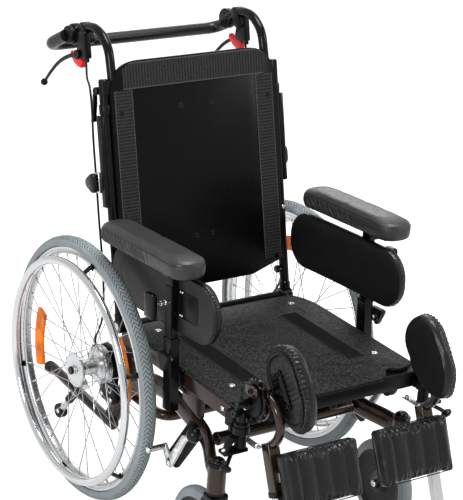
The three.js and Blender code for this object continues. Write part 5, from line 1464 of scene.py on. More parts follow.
@dataclass
class Back:
    """The back: canes on the pivot tube, the hard shell with its hook tape, and the brake cables."""

    pivot_y: float = -46.0
    pivot_z: float = 415.0
    lean: float = 12.9
    cane_x: float = 226.0
    cane_radius: float = 11.0
    handle_x: float = 204.0
    shell_front: float = -16.6
    shell_rear: float = -11.9
    shell_half: float = 219.0
    shell_top: float = 591.0

    @property
    def pose(self) -> Array:
        """The back's own leaning frame: Z up the canes, Y behind them."""
        return leaning(0, self.pivot_y, self.pivot_z, self.lean)

    def cane(self) -> list[tuple[Solid, Finish]]:
        """Gives one cane in the back's frame, with its collar, clamps, levers and knobs."""
        x, r = self.cane_x, self.cane_radius
        tube = rod((x, 0, 14), (x, 0, 553.6), r, 1, 32)
        lug = turned([(6.6, 0), (16, 0), (16, 22.4), (6.6, 22.4)], (213.6, 0, 0), (1, 0, 0), 40, True)
        shank = rod((x, 0, 12), (x, 0, 30), 13, 2, 32)
        clamp = plate(
            outline([(187.8, -11.2), (x, -11.2), (x, 14.8), (187.8, 14.8)], 6), "z", 520.4, 551.6, 2
        )
        collar = turned(
            [(12.6, 0), (13.4, 2), (13.4, 20), (12.6, 22), (11, 22), (11, 0)], (x, 0, 478), (0, 0, 1), 36,
            True
        )
        plug = rod((x, 0, 553.2), (x, 0, 556), 9.6, 1.2)
        rail = brick((x + 9, -8.8, 272), (x + 19.8, 8.8, 477), 2, 3)
        groove = brick((x + 18.5, -2.5, 276), (x + 20.1, 2.5, 473), 0.5, 1)
        stud = rod((x - 10, 0, 62), (x - 14, 0, 62), 5)
        knob = turned(
            [(5, 0), (8.4, 2), (9, 5), (9, 10), (6.4, 12.6), (2, 13)], (x - 12, 0, 62), (-1, 0, 0), 32
        )
        lever = self.clamp_lever()
        support = brick((x + 8, 8.9, 304), (x + 24, 24, 350), 1.5, 2)
        support_knob = self.tri_knob((x + 31, 27, 327), 21, 13)
        screw = rod((x + 14, 18, 327), (x + 27, 25, 327), 3.6)
        hole = hex_bolt((x, -10.4, 210), (0, -1, 0), 4.5, 2.4)
        parts = [
            (joined([tube, lug, shank, rail]), GLOSS_BLACK), (joined([clamp, collar, groove]), SATIN_BLACK)
        ]
        parts += [
            (joined([plug, lever, support_knob, knob]), SHINY_PLASTIC),
            (joined([stud, support, screw, hole]), STEEL)
        ]
        return parts

    def clamp_lever(self) -> Solid:
        """Gives the clamp lever that folds down behind the cane's top."""
        x = self.cane_x + 9
        line = [(x, 16, 530), (x + 1, 22, 522), (x + 1, 26, 500), (x + 1, 32, 478), (x, 36, 462)]
        size = np.interp(np.linspace(0, 1, 33), [0, 0.15, 0.8, 1], [1.4, 0.85, 0.9, 1.25])
        arm = sweep(curve_through(line, 8), soft_square(5.5, 4.0, 1.5), (1, 0, 0), scale=size)
        return joined([arm, rod((x - 12, 16, 530), (x + 6, 16, 530), 9, 1.5)])

    @staticmethod
    def tri_knob(centre: Sequence[float], radius: float, thick: float) -> Solid:
        """Gives a three-lobed knob: a radius plus a tenth of it times cos 3t, with rounded edges."""
        t = np.arange(48) / 48 * FULL_TURN
        reach = radius * (1 + 0.13 * np.cos(3 * t))
        shape = np.stack([centre[1] + reach * np.cos(t), centre[2] + reach * np.sin(t)], 1)
        return plate(shape, "x", centre[0] - thick / 2, centre[0] + thick / 2, 3.5)

    def crossbar(self) -> list[tuple[Solid, Finish]]:
        """Gives the pivot tube, its spigot heads and the lever that works the recline spring."""
        tube = rod((-208.7, 0, 0), (208.7, 0, 0), 9, 0.5, 32)
        pin = rod((-239.8, 0, 0), (239.8, 0, 0), 5.9)
        heads = [hex_bolt((s * 236.4, 0, 0), (s, 0, 0), 9.8, 3.6) for s in (1, -1)]
        lever = [plate(strap_outline((0, 0), 12, (0, -45), 10), "x", a, a + 5, 1) for a in (9, -14)]
        lever_pin = rod((-15.5, 0, -45), (15.5, 0, -45), 4)
        return [(joined([tube, *lever]), SATIN_BLACK), (joined([pin, *heads, lever_pin]), STEEL)]

    def shell_outline(self, inset: float) -> Array:
        """Gives the shell's outline, drawn in by an inset."""
        w, top = self.shell_half - inset, self.shell_top - inset
        corners = [
            (-w, top, 78 - inset), (-w, 92, 6), (-127, 64 + inset, 70), (127, 64 + inset, 70), (w, 92, 6),
            (w, top, 78 - inset)
        ]
        return outline(corners, 0, 16)

    def shell(self) -> list[tuple[Solid, Finish]]:
        """Gives the shell, its turned rim, tapes, screws, hole rims with gloss black discs of painted shade, and
        rear brackets.
        """
        front, rear = self.shell_front, self.shell_rear
        board = plate(self.shell_outline(0), "y", front, rear, 2.0)
        rim_line = self.shell_outline(2.6)
        keep = rim_line[:, 1] > 88
        rim_path = np.column_stack(
            [rim_line[:, 0], np.full(len(rim_line), rear + 2.2), rim_line[:, 1]]
        )[keep]
        order = np.argsort(np.arctan2(rim_path[:, 0], rim_path[:, 2] - 300))
        rims = [sweep(rim_path[order], soft_square(3.2, 2.4, 1.5), (0, 1, 0))]
        clips = [
            brick(
                (s * 196, rear - 0.5, z), (s * 214.6, 8.8, z + 30), 1.2, 2
            ) for s in (1, -1) for z in (130, 395)
        ]
        rear_parts = [
            brick((-55, rear - 0.4, 462), (55, rear + 5, 502), 1.2, 3),
            brick((-20, rear - 0.4, 463), (20, rear + 25.6, 501), 2, 4)
        ]
        rear_parts += [brick((-35, rear - 0.4, 165), (35, rear + 5, 192), 1.2, 3)]
        screws = [self.screw(x, z) for x, z in ((-41, 478.5), (41, 478.5), (-21, 178.5), (21, 178.5))]
        hole_rims = [
            turned(
                [(5.6, 0), (5.2, 0.7), (4, 0.7), (4, 0)], (s * 195, front - 1.4, z), (0, -1, 0), 28, True
            )
            for s in (1, -1) for z in (477.5, 99.5)
        ]
        # Painted shade: gloss black discs stand for the holes' dark openings.
        holes = [
            rod(
                (s * 195, front - 1.3, z), (s * 195, front - 1.7, z), 4.3, 0.1, 20
            ) for s in (1, -1) for z in (477.5, 99.5)
        ]
        return [
            (joined([board, *clips]), BACK_BOARD), (joined(rims), GLOSS_BLACK),
            (joined(rear_parts), SATIN_BLACK),
            (joined(screws + hole_rims), SHINY_PLASTIC), (joined(holes), GLOSS_BLACK), (self.tapes(), TAPE),
        ]

    def screw(self, x: float, z: float) -> Solid:
        """Gives a countersunk screw that stands a little proud of the shell's face."""
        profile = [(6.4, 0), (6.4, 0.6), (5.2, 1.3), (3.4, 1.1), (3, 0.2)]
        return turned(profile, (x, self.shell_front, z), (0, -1, 0), 24)

    def tapes(self) -> Solid:
        """Gives the hook tape: a head band whose ends follow the round corners, and two side strips."""
        y = self.shell_front - 0.7
        high = np.linspace(529, 587, 16)
        drop = np.clip((high - (self.shell_top - 78)) / 78, 0, 1)
        widths = np.minimum(self.shell_half - 6 - 78 * (1 - np.sqrt(1 - drop**2)) * 0.9, 186.0)
        profile = soft_square(1.0, 0.8, 0.004, 2)
        flat = np.broadcast_to(profile[None, :, 1] + y, (len(high), len(profile)))
        points = np.stack(
            [profile[None, :, 0] * widths[:, None], flat, np.broadcast_to(high[:, None], flat.shape)], -1
        )
        strips = [ruled(grid(points), 0, 2, 558, 29)]
        for s in (1, -1):
            path = np.array([[s * 187, y, z] for z in np.linspace(96, 527, 60)])
            strips.append(ruled(sweep(path, soft_square(23, 0.8, 0.3), (1, 0, 0)), 2, 0, s * 187, 23))
        return joined(strips)

    def cable_route(self, shop: Workshop, side: Side) -> Array:
        """Gives a brake cable's line, from the lever housing to the stop on the axle plate."""
        route = [(214, 175.7, 975.2), (216.5, 168, 954.5), (230, 140, 942), (240, 111, 933), (246, 92, 912)]
        route += [(247, 83, 880), (243, 80, 820), (243, 62, 740), (243, 40, 640), (243, 16, 540)]
        route += [(245, 2, 460), (244, 6, 418), (238, 30, 376), (231, 53, 348), (230, 56, 326.7)]
        return shop.metres(curve_through(route, 12) * np.array([side.value, 1, 1]))

    def cable(self, shop: Workshop, side: Side) -> None:
        diameter = 5.2
        path = self.cable_route(shop, side)
        line = (path - np.array([0, shop.axle_y, 0])) / MILLIMETRE
        sleeve = sweep(line, oval(diameter / 2, diameter / 2, 14), (1, 0, 0))
        made = shop.piece(
            side.node("brake_line"), "back", [(sleeve, SHINY_PLASTIC)], [
                side.node("brake_cable")
            ]
        )

    def make(self, shop: Workshop) -> None:
        """Makes the back's pieces."""
        pose = self.pose
        for side in Side:
            self.cable(shop, side)
            cane = [(s.moved(pose).on(side), f) for s, f in self.cane()]
            shop.piece(side.node("cane"), "back", cane, [side.node("back_cane")])
        bar = [(s.moved(pose), f) for s, f in self.crossbar()]
        shop.piece("pivot_bar", "back", bar, ["back_crossbar"])
        shell = [(s.moved(pose), f) for s, f in self.shell()]
        shop.piece("back_shell", "back", shell, ["back_panel"])


@dataclass
class PushGear:
    """The push handles, the foam-covered push bar between them, and the brake levers."""

    back: Back
    handle_radius: float = 10.5
    joint_y: float = 147.7
    joint_z: float = 649.4
    bar_x: float = 235.0
    bar_y: float = 232.6
    bar_z: float = 623.7
    bar_radius: float = 14.0
    pivot_y: float = 112.5
    pivot_z: float = 606.0

    def handle(self) -> list[tuple[Solid, Finish]]:
        """Gives one handle: the curled tube, the toothed joint, the lever housing and the red catch."""
        x = self.back.handle_x
        curl = [
            (x, y, z) for y,
            z in ((0, 457), (0, 575), (9, 625), (46, 660), (100, 665), (self.joint_y, self.joint_z))
        ]
        tube = sweep(curve_through(curl, 12), oval(self.handle_radius, self.handle_radius, 28))
        disc = turned(
            [(8, 196), (22, 196), (24, 198.5), (24, 212), (22.6, 214.8), (8, 214.8)],
            (0, self.joint_y, self.joint_z), (1, 0, 0), 48
        )
        cap = turned([(13, 0), (12, -2.4), (4, -3.2)], (196, self.joint_y, self.joint_z), (1, 0, 0), 32)
        housing = plate(
            outline(
                [(78, 658), (78, 596), (104, 596), (120, 600), (120, 614), (104, 658)], 6
            ), "x", 205.4, 221.6, 2.5
        )
        strap = plate(strap_outline((100, 664), 13.5, (92, 640), 12), "x", 193, 216.4, 2)
        pin = hex_bolt((221.4, self.pivot_y, self.pivot_z), (1, 0, 0), 4.6, 7.4)
        nozzle = turned([(4.2, 0), (4.2, 6), (3, 9)], (214, 84, 597), (0.1, -0.1, -1), 20)
        catch = plate(
            outline(
                [
                    (96, 592), (108, 575), (122, 578), (136, 586), (152, 604), (148, 614), (134, 610),
                    (120, 604)
                ],
                4
            ),
            "x", 207, 221.5, 2.5,
        )
        return [
            (joined([tube]), GLOSS_BLACK), (joined([disc, housing, strap, nozzle]), SATIN_BLACK),
            (joined([pin, cap]), SHINY_PLASTIC), (catch, RED)
        ]

    def bar(self) -> list[tuple[Solid, Finish]]:
        """Gives the foam-covered bow and its two joint discs, in the back's frame."""
        arm_x = 228.0
        corners = [(-arm_x, self.joint_y + 6, self.joint_z - 2), (-self.bar_x, self.bar_y, self.bar_z)]
        corners += [(self.bar_x, self.bar_y, self.bar_z), (arm_x, self.joint_y + 6, self.joint_z - 2)]
        line = bent_line(corners, 44, 16)
        foam = sweep(line, oval(self.bar_radius, self.bar_radius, 36), (0, 0.3, 1))
        discs = []
        for s in (1, -1):
            profile = [
                (6, 215.3), (19, 215.3), (20.4, 216.8), (20.4, 225), (18.6, 227.6), (12, 228.4), (4, 228.4)
            ]
            profile = [(r, s * h) for r, h in profile]
            discs.append(turned(profile, (0, self.joint_y, self.joint_z), (1, 0, 0), 48))
        return [(foam, FOAM), (joined(discs), SATIN_BLACK)]

    def lever(self) -> list[tuple[Solid, Finish]]:
        """Gives a brake lever: a bowed blade that swells to a ball end."""
        x = 225.3
        line = [
            (x, self.pivot_y, self.pivot_z), (x, 150, 601), (x, 196, 587), (x, 240, 563), (x, 278, 536.7)
        ]
        size = np.interp(np.linspace(0, 1, 33), [0, 0.2, 0.7, 1], [1.1, 1.0, 0.85, 0.75])
        blade = sweep(curve_through(line, 8), soft_square(2.9, 4.8, 2.4), (1, 0, 0), scale=size)
        eye = rod((222.5, self.pivot_y, self.pivot_z), (228.1, self.pivot_y, self.pivot_z), 10.8, 1.2)
        return [(joined([blade, eye, ball((x, 278, 536.7), 8.3)]), SATIN_BLACK)]

    def make(self, shop: Workshop) -> None:
        """Makes handles, levers and the bar."""
        pose = self.back.pose
        for side in Side:
            handle = [(s.moved(pose).on(side), f) for s, f in self.handle()]
            shop.piece(
                side.node("curled_handle"), "push_handles", handle, [side.node("push_handle")],
            )
            lever = [(s.moved(pose).on(side), f) for s, f in self.lever()]
            shop.piece(
                side.node("hand_brake"), side.node("brake_lever"), lever, [side.node("brake_lever")],
            )
        bar = [(s.moved(pose), f) for s, f in self.bar()]
        shop.piece("foam_push_bar", "push_bar", bar, ["push_bar"])


# ---- Soft pads ------------------------------------------------------------------------------


@dataclass
class Pad:
    """A padded form built of rings, swollen as cloth, then given its seams and gathers.

    Attributes:
        half_long: Half its length.
        half_wide: Half its width.
        corner: Its outline's corner radius.
        rings: Rows of inset and rise from the flat side to the crown.
        pressure: The cloth's pressure.
        cap: How far a point may move, in millimetres.
    """

    half_long: float
    half_wide: float
    corner: float
    rings: Sequence[tuple[float, float]]
    pressure: float = 4.0
    cap: float = 6.0
    voxel: float = 4.5

    def ring(self, inset: float, steps: int = 12) -> Array:
        """Gives the outline drawn in by an inset: arcs of the corner radius less the inset."""
        radius = max(self.corner - inset, 2.0)
        return soft_square(self.half_long - inset, self.half_wide - inset, radius, steps)

    def solid(self) -> Solid:
        """Gives the unswollen form in its own frame: X along, Y across, Z from flat side to crown."""
        layers = [np.column_stack([self.ring(inset), np.full(52, rise)]) for inset, rise in self.rings]
        return grid(np.stack(layers))

    def make(
        self, shop: Workshop, name: str, body: str, node: str, place: Callable[[Array], Array],
        finish: Finish,
        shape: Callable[[Array, Array], Array], face: Optional[Finish] = None, face_rise: float = 0.0,
    ) -> bpy.types.Object:
        """Makes the pad.

        Args:
            shop: The workshop.
            name: The piece's name.
            body: The body that it rides on.
            node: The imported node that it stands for.
            place: Carries points from the pad's frame to the axle frame.
            finish: Its leather or cloth.
            shape: Gives each point's final shift from its place and normal in the pad's frame.
            face: The cloth of its crown, if that differs.
            face_rise: Where that cloth starts, in millimetres above the flat side.

        Returns:
            The object.
        """
        points, quads = self.swollen()
        normals = self.normals(points, quads)
        points = points + shape(points, normals)
        crown = (points[quads][..., 2].mean(1) > face_rise) & (face is not None)
        parts = [
            (Solid(place(points), quads[chosen], np.zeros((int(chosen.sum()), 4, 2))), cloth)
            for chosen, cloth in ((~crown, finish), (crown, face)) if chosen.any()
        ]
        made = shop.piece(name, body, parts, [node], 80)
        return made

    def swollen(self) -> tuple[Array, Array]:
        """Remeshes the form, swells it by cloth pressure within the cap, and subdivides it once.

        Returns:
            The points in millimetres, in the pad's frame, and the quads.
        """
        solid = self.solid()
        mesh = bpy.data.meshes.new("pad_form")
        mesh.from_pydata(solid.points * MILLIMETRE, [], [*solid.quads.tolist(), *solid.caps])
        Workshop.heal(mesh)
        form = bpy.data.objects.new("pad_form", mesh)
        bpy.context.scene.collection.objects.link(form)
        remesh = form.modifiers.new("even", "REMESH")
        remesh.mode, remesh.voxel_size = "VOXEL", self.voxel * MILLIMETRE
        even = bpy.data.meshes.new_from_object(form.evaluated_get(bpy.context.evaluated_depsgraph_get()))
        form.modifiers.clear()
        form.data = even
        start = self.corners(even)
        end = start
        end = self.blown(form)
        move = end - start
        length = np.linalg.norm(move, axis=1, keepdims=True)
        limit = self.cap * MILLIMETRE
        floor = np.clip(start[:, 2:] / (6 * MILLIMETRE), 0, 1)
        final = start + move * np.minimum(1, limit / np.maximum(length, 1e-9)) * floor
        even.vertices.foreach_set("co", final.ravel())
        smooth = form.modifiers.new("round", "SUBSURF")
        smooth.levels = smooth.render_levels = 1
        bpy.context.view_layer.update()
        fine = bpy.data.meshes.new_from_object(form.evaluated_get(bpy.context.evaluated_depsgraph_get()))
        points = self.corners(fine) / MILLIMETRE
        loops = np.zeros(len(fine.loops), np.int32)
        fine.loops.foreach_get("vertex_index", loops)
        bpy.data.objects.remove(form)
        return points, loops.reshape(-1, 4)

    def blown(self, form: bpy.types.Object) -> Array:
        """Runs the cloth for 20 frames with pressure and no gravity, and gives the points."""
        cloth = form.modifiers.new("swell", "CLOTH")
        settings = cloth.settings
        settings.use_pressure = True
        settings.uniform_pressure_force = self.pressure
        settings.effector_weights.gravity = 0.0
        scene = bpy.context.scene
        for frame in range(1, 21):
            scene.frame_set(frame)
        settled = form.evaluated_get(bpy.context.evaluated_depsgraph_get()).to_mesh()
        points = self.corners(settled)
        form.evaluated_get(bpy.context.evaluated_depsgraph_get()).to_mesh_clear()
        form.modifiers.clear()
        scene.frame_set(1)
        return points

    @staticmethod
    def corners(mesh: bpy.types.Mesh) -> Array:
        """Gives a mesh's corner places."""
        flat = np.zeros(len(mesh.vertices) * 3)
        mesh.vertices.foreach_get("co", flat)
        return flat.reshape(-1, 3)

    @staticmethod
    def normals(points: Array, quads: Array) -> Array:
        """Gives a normal for each point: the sum of its quads' diagonal cross products, scaled to one."""
        across = np.cross(
            points[quads[:, 2]] - points[quads[:, 0]], points[quads[:, 3]] - points[quads[:, 1]]
        )
        total = np.zeros_like(points)
        for corner in range(4):
            np.add.at(total, quads[:, corner], across)
        return unit(total)

    def edge_share(self, points: Array) -> tuple[Array, Array]:
        """Gives each point's distance inside the outline and its angle-like run along the edge.

        The distance is that to the rounded rectangle, negative outside; the run is the arc length of the
        nearest edge point, counted from the +X end.

        Args:
            points: Points in the pad's frame.

        Returns:
            The distance and the run, in millimetres.
        """
        x, y = points[:, 0], points[:, 1]
        sx, sy = self.half_long - self.corner, self.half_wide - self.corner
        qx, qy = np.abs(x) - sx, np.abs(y) - sy
        outside = np.hypot(np.maximum(qx, 0), np.maximum(qy, 0)) + np.minimum(np.maximum(qx, qy), 0)
        run = np.where(
            np.abs(x) < sx, x,
            np.sign(x) * (sx + self.corner * np.arctan2(np.maximum(qx, 0), np.abs(y) - sy + 1e-6))
        )
        return self.corner - outside, run


# ---- Arm rests ------------------------------------------------------------------------------


@dataclass
class ArmRest:
    """An arm rest: socket on the rail, post, padded arm and padded side."""

    foot_x: float = 258.0
    foot_y: float = -314.0
    foot_z: float = 385.0
    lean: float = 3.6
    pad_y: float = 66.0
    pad_x: float = 12.0
    pad_z: float = 273.8
    side_y: float = 56.5
    side_z: float = 193.5
    seam_rise: float = 33.0

    @property
    def pose(self) -> Array:
        """The arm's leaning frame: Z up the post, Y to the rear."""
        return leaning(self.foot_x, self.foot_y, self.foot_z, self.lean)

    def socket(self) -> list[tuple[Solid, Finish]]:
        """Gives the socket, its seam lip, its foot on the rail and the shield-shaped clamp knob."""
        walls = [
            brick((-11, -15, -50), (-8.4, 15, 115), 0.6, 1), brick((9.4, -15, -50), (11, 15, 115), 0.4, 0.7)
        ]
        walls += [
            brick((-10, -15, -50), (10.6, -12.4, 115), 0.6, 1),
            brick((-10, 12.4, -50), (10.6, 15, 115), 0.6, 1)
        ]
        lip = [
            brick((-11.6, -15.8, 107), (-8.4, 15.8, 114.6), 0.6, 1),
            brick((9.4, -15.8, 107), (11.8, 15.8, 114.6), 0.6, 1)
        ]
        foot = brick((-23.1, -17.2, 5), (-10, 17.2, 35), 1.2, 2)
        stud = rod((10, -14.5, 71), (21, -14.5, 71), 6)
        skirt = rod((14.5, -14.5, 71), (20, -14.5, 71), 12, 1.5)
        shield = plate(outline([(-41, 90, 8), (12, 90, 8), (-14.5, 43, 9)], 8, 10), "x", 19.8, 34.5, 4.2)
        return [
            (joined(walls + lip + [foot]), GLOSS_BLACK), (stud, STEEL),
            (joined([shield, skirt]), MATT_PLASTIC)
        ]

    def post(self) -> list[tuple[Solid, Finish]]:
        """Gives the post, the plate under the pad, the block knob with its screw and the bracket screws."""
        tube = plate(box_outline(-8, -12, 9, 12, 2), "z", -46, 263, 1)
        top = plate(box_outline(-8, -70, 34, 190, 5), "z", 268.7, 273.6, 1.2)
        neck = brick((-8, -14, 254), (20, 14, 270), 1.5, 2)
        screw = rod((8, -8.6, 200), (54, -8.6, 200), 4.2)
        tip = [rod((s, -8.6, 200), (s + 3, -8.6, 200), 5.6, 0.6) for s in (22, 32)]
        knob = plate(box_outline(-25.6, 172.5, 8.4, 227.5, 7), "x", 52, 67, 4)
        slide = brick((8.6, -13, 118), (11.4, 13, 232), 0.8, 1.5)
        return [
            (joined([tube, top, neck]), GLOSS_BLACK), (slide, SATIN_BLACK), (joined([screw, *tip]), STEEL),
            (knob, SHINY_PLASTIC)
        ]

    def arm_pad(self, shop: Workshop, side: Side) -> None:
        """Makes the arm pad with its gathered sides, piped seam and stitches."""
        pad = Pad(
            half_long=171, half_wide=42.5, corner=38, cap=4.0,
            rings=[(10, 0.2), (4, 2.5), (1.5, 7), (0, 20), (0, 31), (4, 37), (13, 41), (28, 43)],
        )
        seam, front = self.seam_rise, 60.0

        def shape(points: Array, normals: Array) -> Array:
            """Gives gathers of about 11 mm on the rear sides, a pinch along the seam and a soft crown."""
            _, run = pad.edge_share(points)
            high = points[:, 2]
            wall = np.exp(-(((high - 16) / 12) ** 2)) * (np.hypot(normals[:, 0], normals[:, 1]) > 0.5)
            rear = np.clip((points[:, 0] + front) / 50, 0, 1)
            lean = run * 0.46 - 0.34 * (high - 16) * rear + 1.3 * np.sin(run * 0.085)
            gather = (0.65 * np.sin(lean) + 0.4 * np.sin(lean * 1.63 + 1)) * 2.6 * wall * rear
            pinch = -1.6 * np.exp(-(((high - seam) / 1.7) ** 2))
            return normals * (gather + pinch)[:, None]

        def place(points: Array) -> Array:
            """Lays the pad along the arm: its X to the rear and its Z up."""
            laid = np.stack(
                [-points[:, 1] + self.pad_x, points[:, 0] + self.pad_y, points[:, 2] + self.pad_z + 0.4], 1
            )
            pose = self.pose
            return (laid @ pose[:3, :3].T + pose[:3, 3]) * np.array([side.value, 1, 1])

        name, body = side.node("arm_cushion"), side.node("arm")
        cushion = pad.make(shop, name, body, side.node("arm_pad"), place, SOFT_LEATHER, shape)
        self.seam(shop, side, pad, place, cushion)

    def seam(
        self, shop: Workshop, side: Side, pad: Pad, place: Callable[[Array], Array],
        cushion: bpy.types.Object
    ) -> None:
        """Makes the stitches along the arm pad's seam, each pulled onto the leather."""
        loop = pad.ring(-4, 40)
        step = np.linalg.norm(np.diff(loop, axis=0, append=loop[:1]), axis=1)
        run = np.concatenate([[0], np.cumsum(step)[:-1]])
        total = float(step.sum())
        marks = np.arange(0, total, 5.2)
        for_each = [
            np.stack(
                [np.interp(m, run, loop[:, k], period=total) for k in (0, 1)], 1
            ) for m in (marks, marks + 3.2)
        ]
        high = np.full((len(marks), 1), self.seam_rise + 2.4)
        ends = [shop.metres(place(np.hstack([p, high]))) for p in for_each]
        stitches = []
        for a, b in zip(*ends):
            on_a = self.snap(cushion, a)
            on_b = self.snap(cushion, b)
            shift = np.array([0, shop.axle_y, 0])
            stitches.append(rod((on_a - shift) / MILLIMETRE, (on_b - shift) / MILLIMETRE, 0.75, 0.3, 6))
        stitching = shop.piece(side.node("arm_stitches"), side.node("arm"), [(joined(stitches), THREAD)])

    @staticmethod
    def snap(target: bpy.types.Object, point: Array) -> Array:
        """Gives the nearest point of a piece's surface."""
        found, place, _, _ = target.closest_point_on_mesh(Vector(point))
        return np.array(place) if found else point

    def side_pad(self, shop: Workshop, side: Side) -> None:
        """Makes the side pad: a stretched cushion towards the sitter, gathered over its rear edge."""
        pad = Pad(
            half_long=209, half_wide=68.5, corner=62, cap=2.5, pressure=3.0, voxel=5.0,
            rings=[(3, 0.4), (0.5, 4), (0, 12), (2, 18), (7, 22), (18, 24), (36, 25)],
        )

        def shape(points: Array, normals: Array) -> Array:
            """Gives fine creases where the cover turns over the edge, strongest at the two ends."""
            _, run = pad.edge_share(points)
            edge = np.exp(-(((points[:, 2] - 7) / 6) ** 2)) * np.clip(
                (np.abs(points[:, 0]) - 130) / 50, 0, 1
            )
            crease = 0.8 * np.sin(run * 0.8) * edge + 0.35 * np.sin(run * 1.9 + points[:, 2] * 0.4) * edge
            return normals * crease[:, None]

        def place(points: Array) -> Array:
            """Stands the pad on its edge: its X to the rear, its Y down, its crown towards the sitter."""
            stood = np.stack(
                [-points[:, 2] - 8.3, points[:, 0] + self.side_y, self.side_z - points[:, 1]], 1
            )
            pose = self.pose
            return (stood @ pose[:3, :3].T + pose[:3, 3]) * np.array([side.value, 1, 1])

        node = side.node("side_pad")
        pad.make(
            shop, side.node("side_cushion"), side.node("arm"), node, place, LEATHER, shape, STRETCH_CLOTH,
            17
        )

    def side_board(self) -> list[tuple[Solid, Finish]]:
        """Gives the board on the side pad's back, its mounting plate and two pairs of screws."""
        shape = soft_square(204, 64, 58, 12) @ np.array([[1, 0], [0, -1]]) + [self.side_y, self.side_z]
        board = plate(shape, "x", -10.5, -7.6, 0.8)
        place = plate(box_outline(-86, 166, -14, 226, 8), "x", -8.2, -6.9, 0.5)
        rim = sweep(
            np.column_stack(
                [np.full(24, -7.0), box_outline(-86, 166, -14, 226, 8)]
            ), oval(0.9, 0.9, 8), (1, 0, 0), closed=True
        )
        screws = [hex_bolt((-7.0, y, z), (1, 0, 0), 2.6, 1.6) for y in (-20, -27) for z in (170, 222)]
        return [(board, GREY_BOARD), (joined([place, rim]), SATIN_BLACK), (joined(screws), STEEL)]

    def make(self, shop: Workshop, side: Side) -> None:
        """Makes one arm rest."""
        pose = self.pose
        socket = [(s.moved(pose).on(side), f) for s, f in self.socket()]
        shop.piece(
            side.node("arm_receiver"), "seat", socket, [side.node("arm_socket")]
        )
        post = [(s.moved(pose).on(side), f) for s, f in self.post()]
        shop.piece(
            side.node("arm_upright"), side.node("arm"), post, [side.node("arm_post")]
        )
        board = [(s.moved(pose).on(side), f) for s, f in self.side_board()]
        shop.piece(side.node("side_backing"), side.node("arm"), board)
        self.arm_pad(shop, side)
        self.side_pad(shop, side)


# ---- Leg rests ------------------------------------------------------------------------------


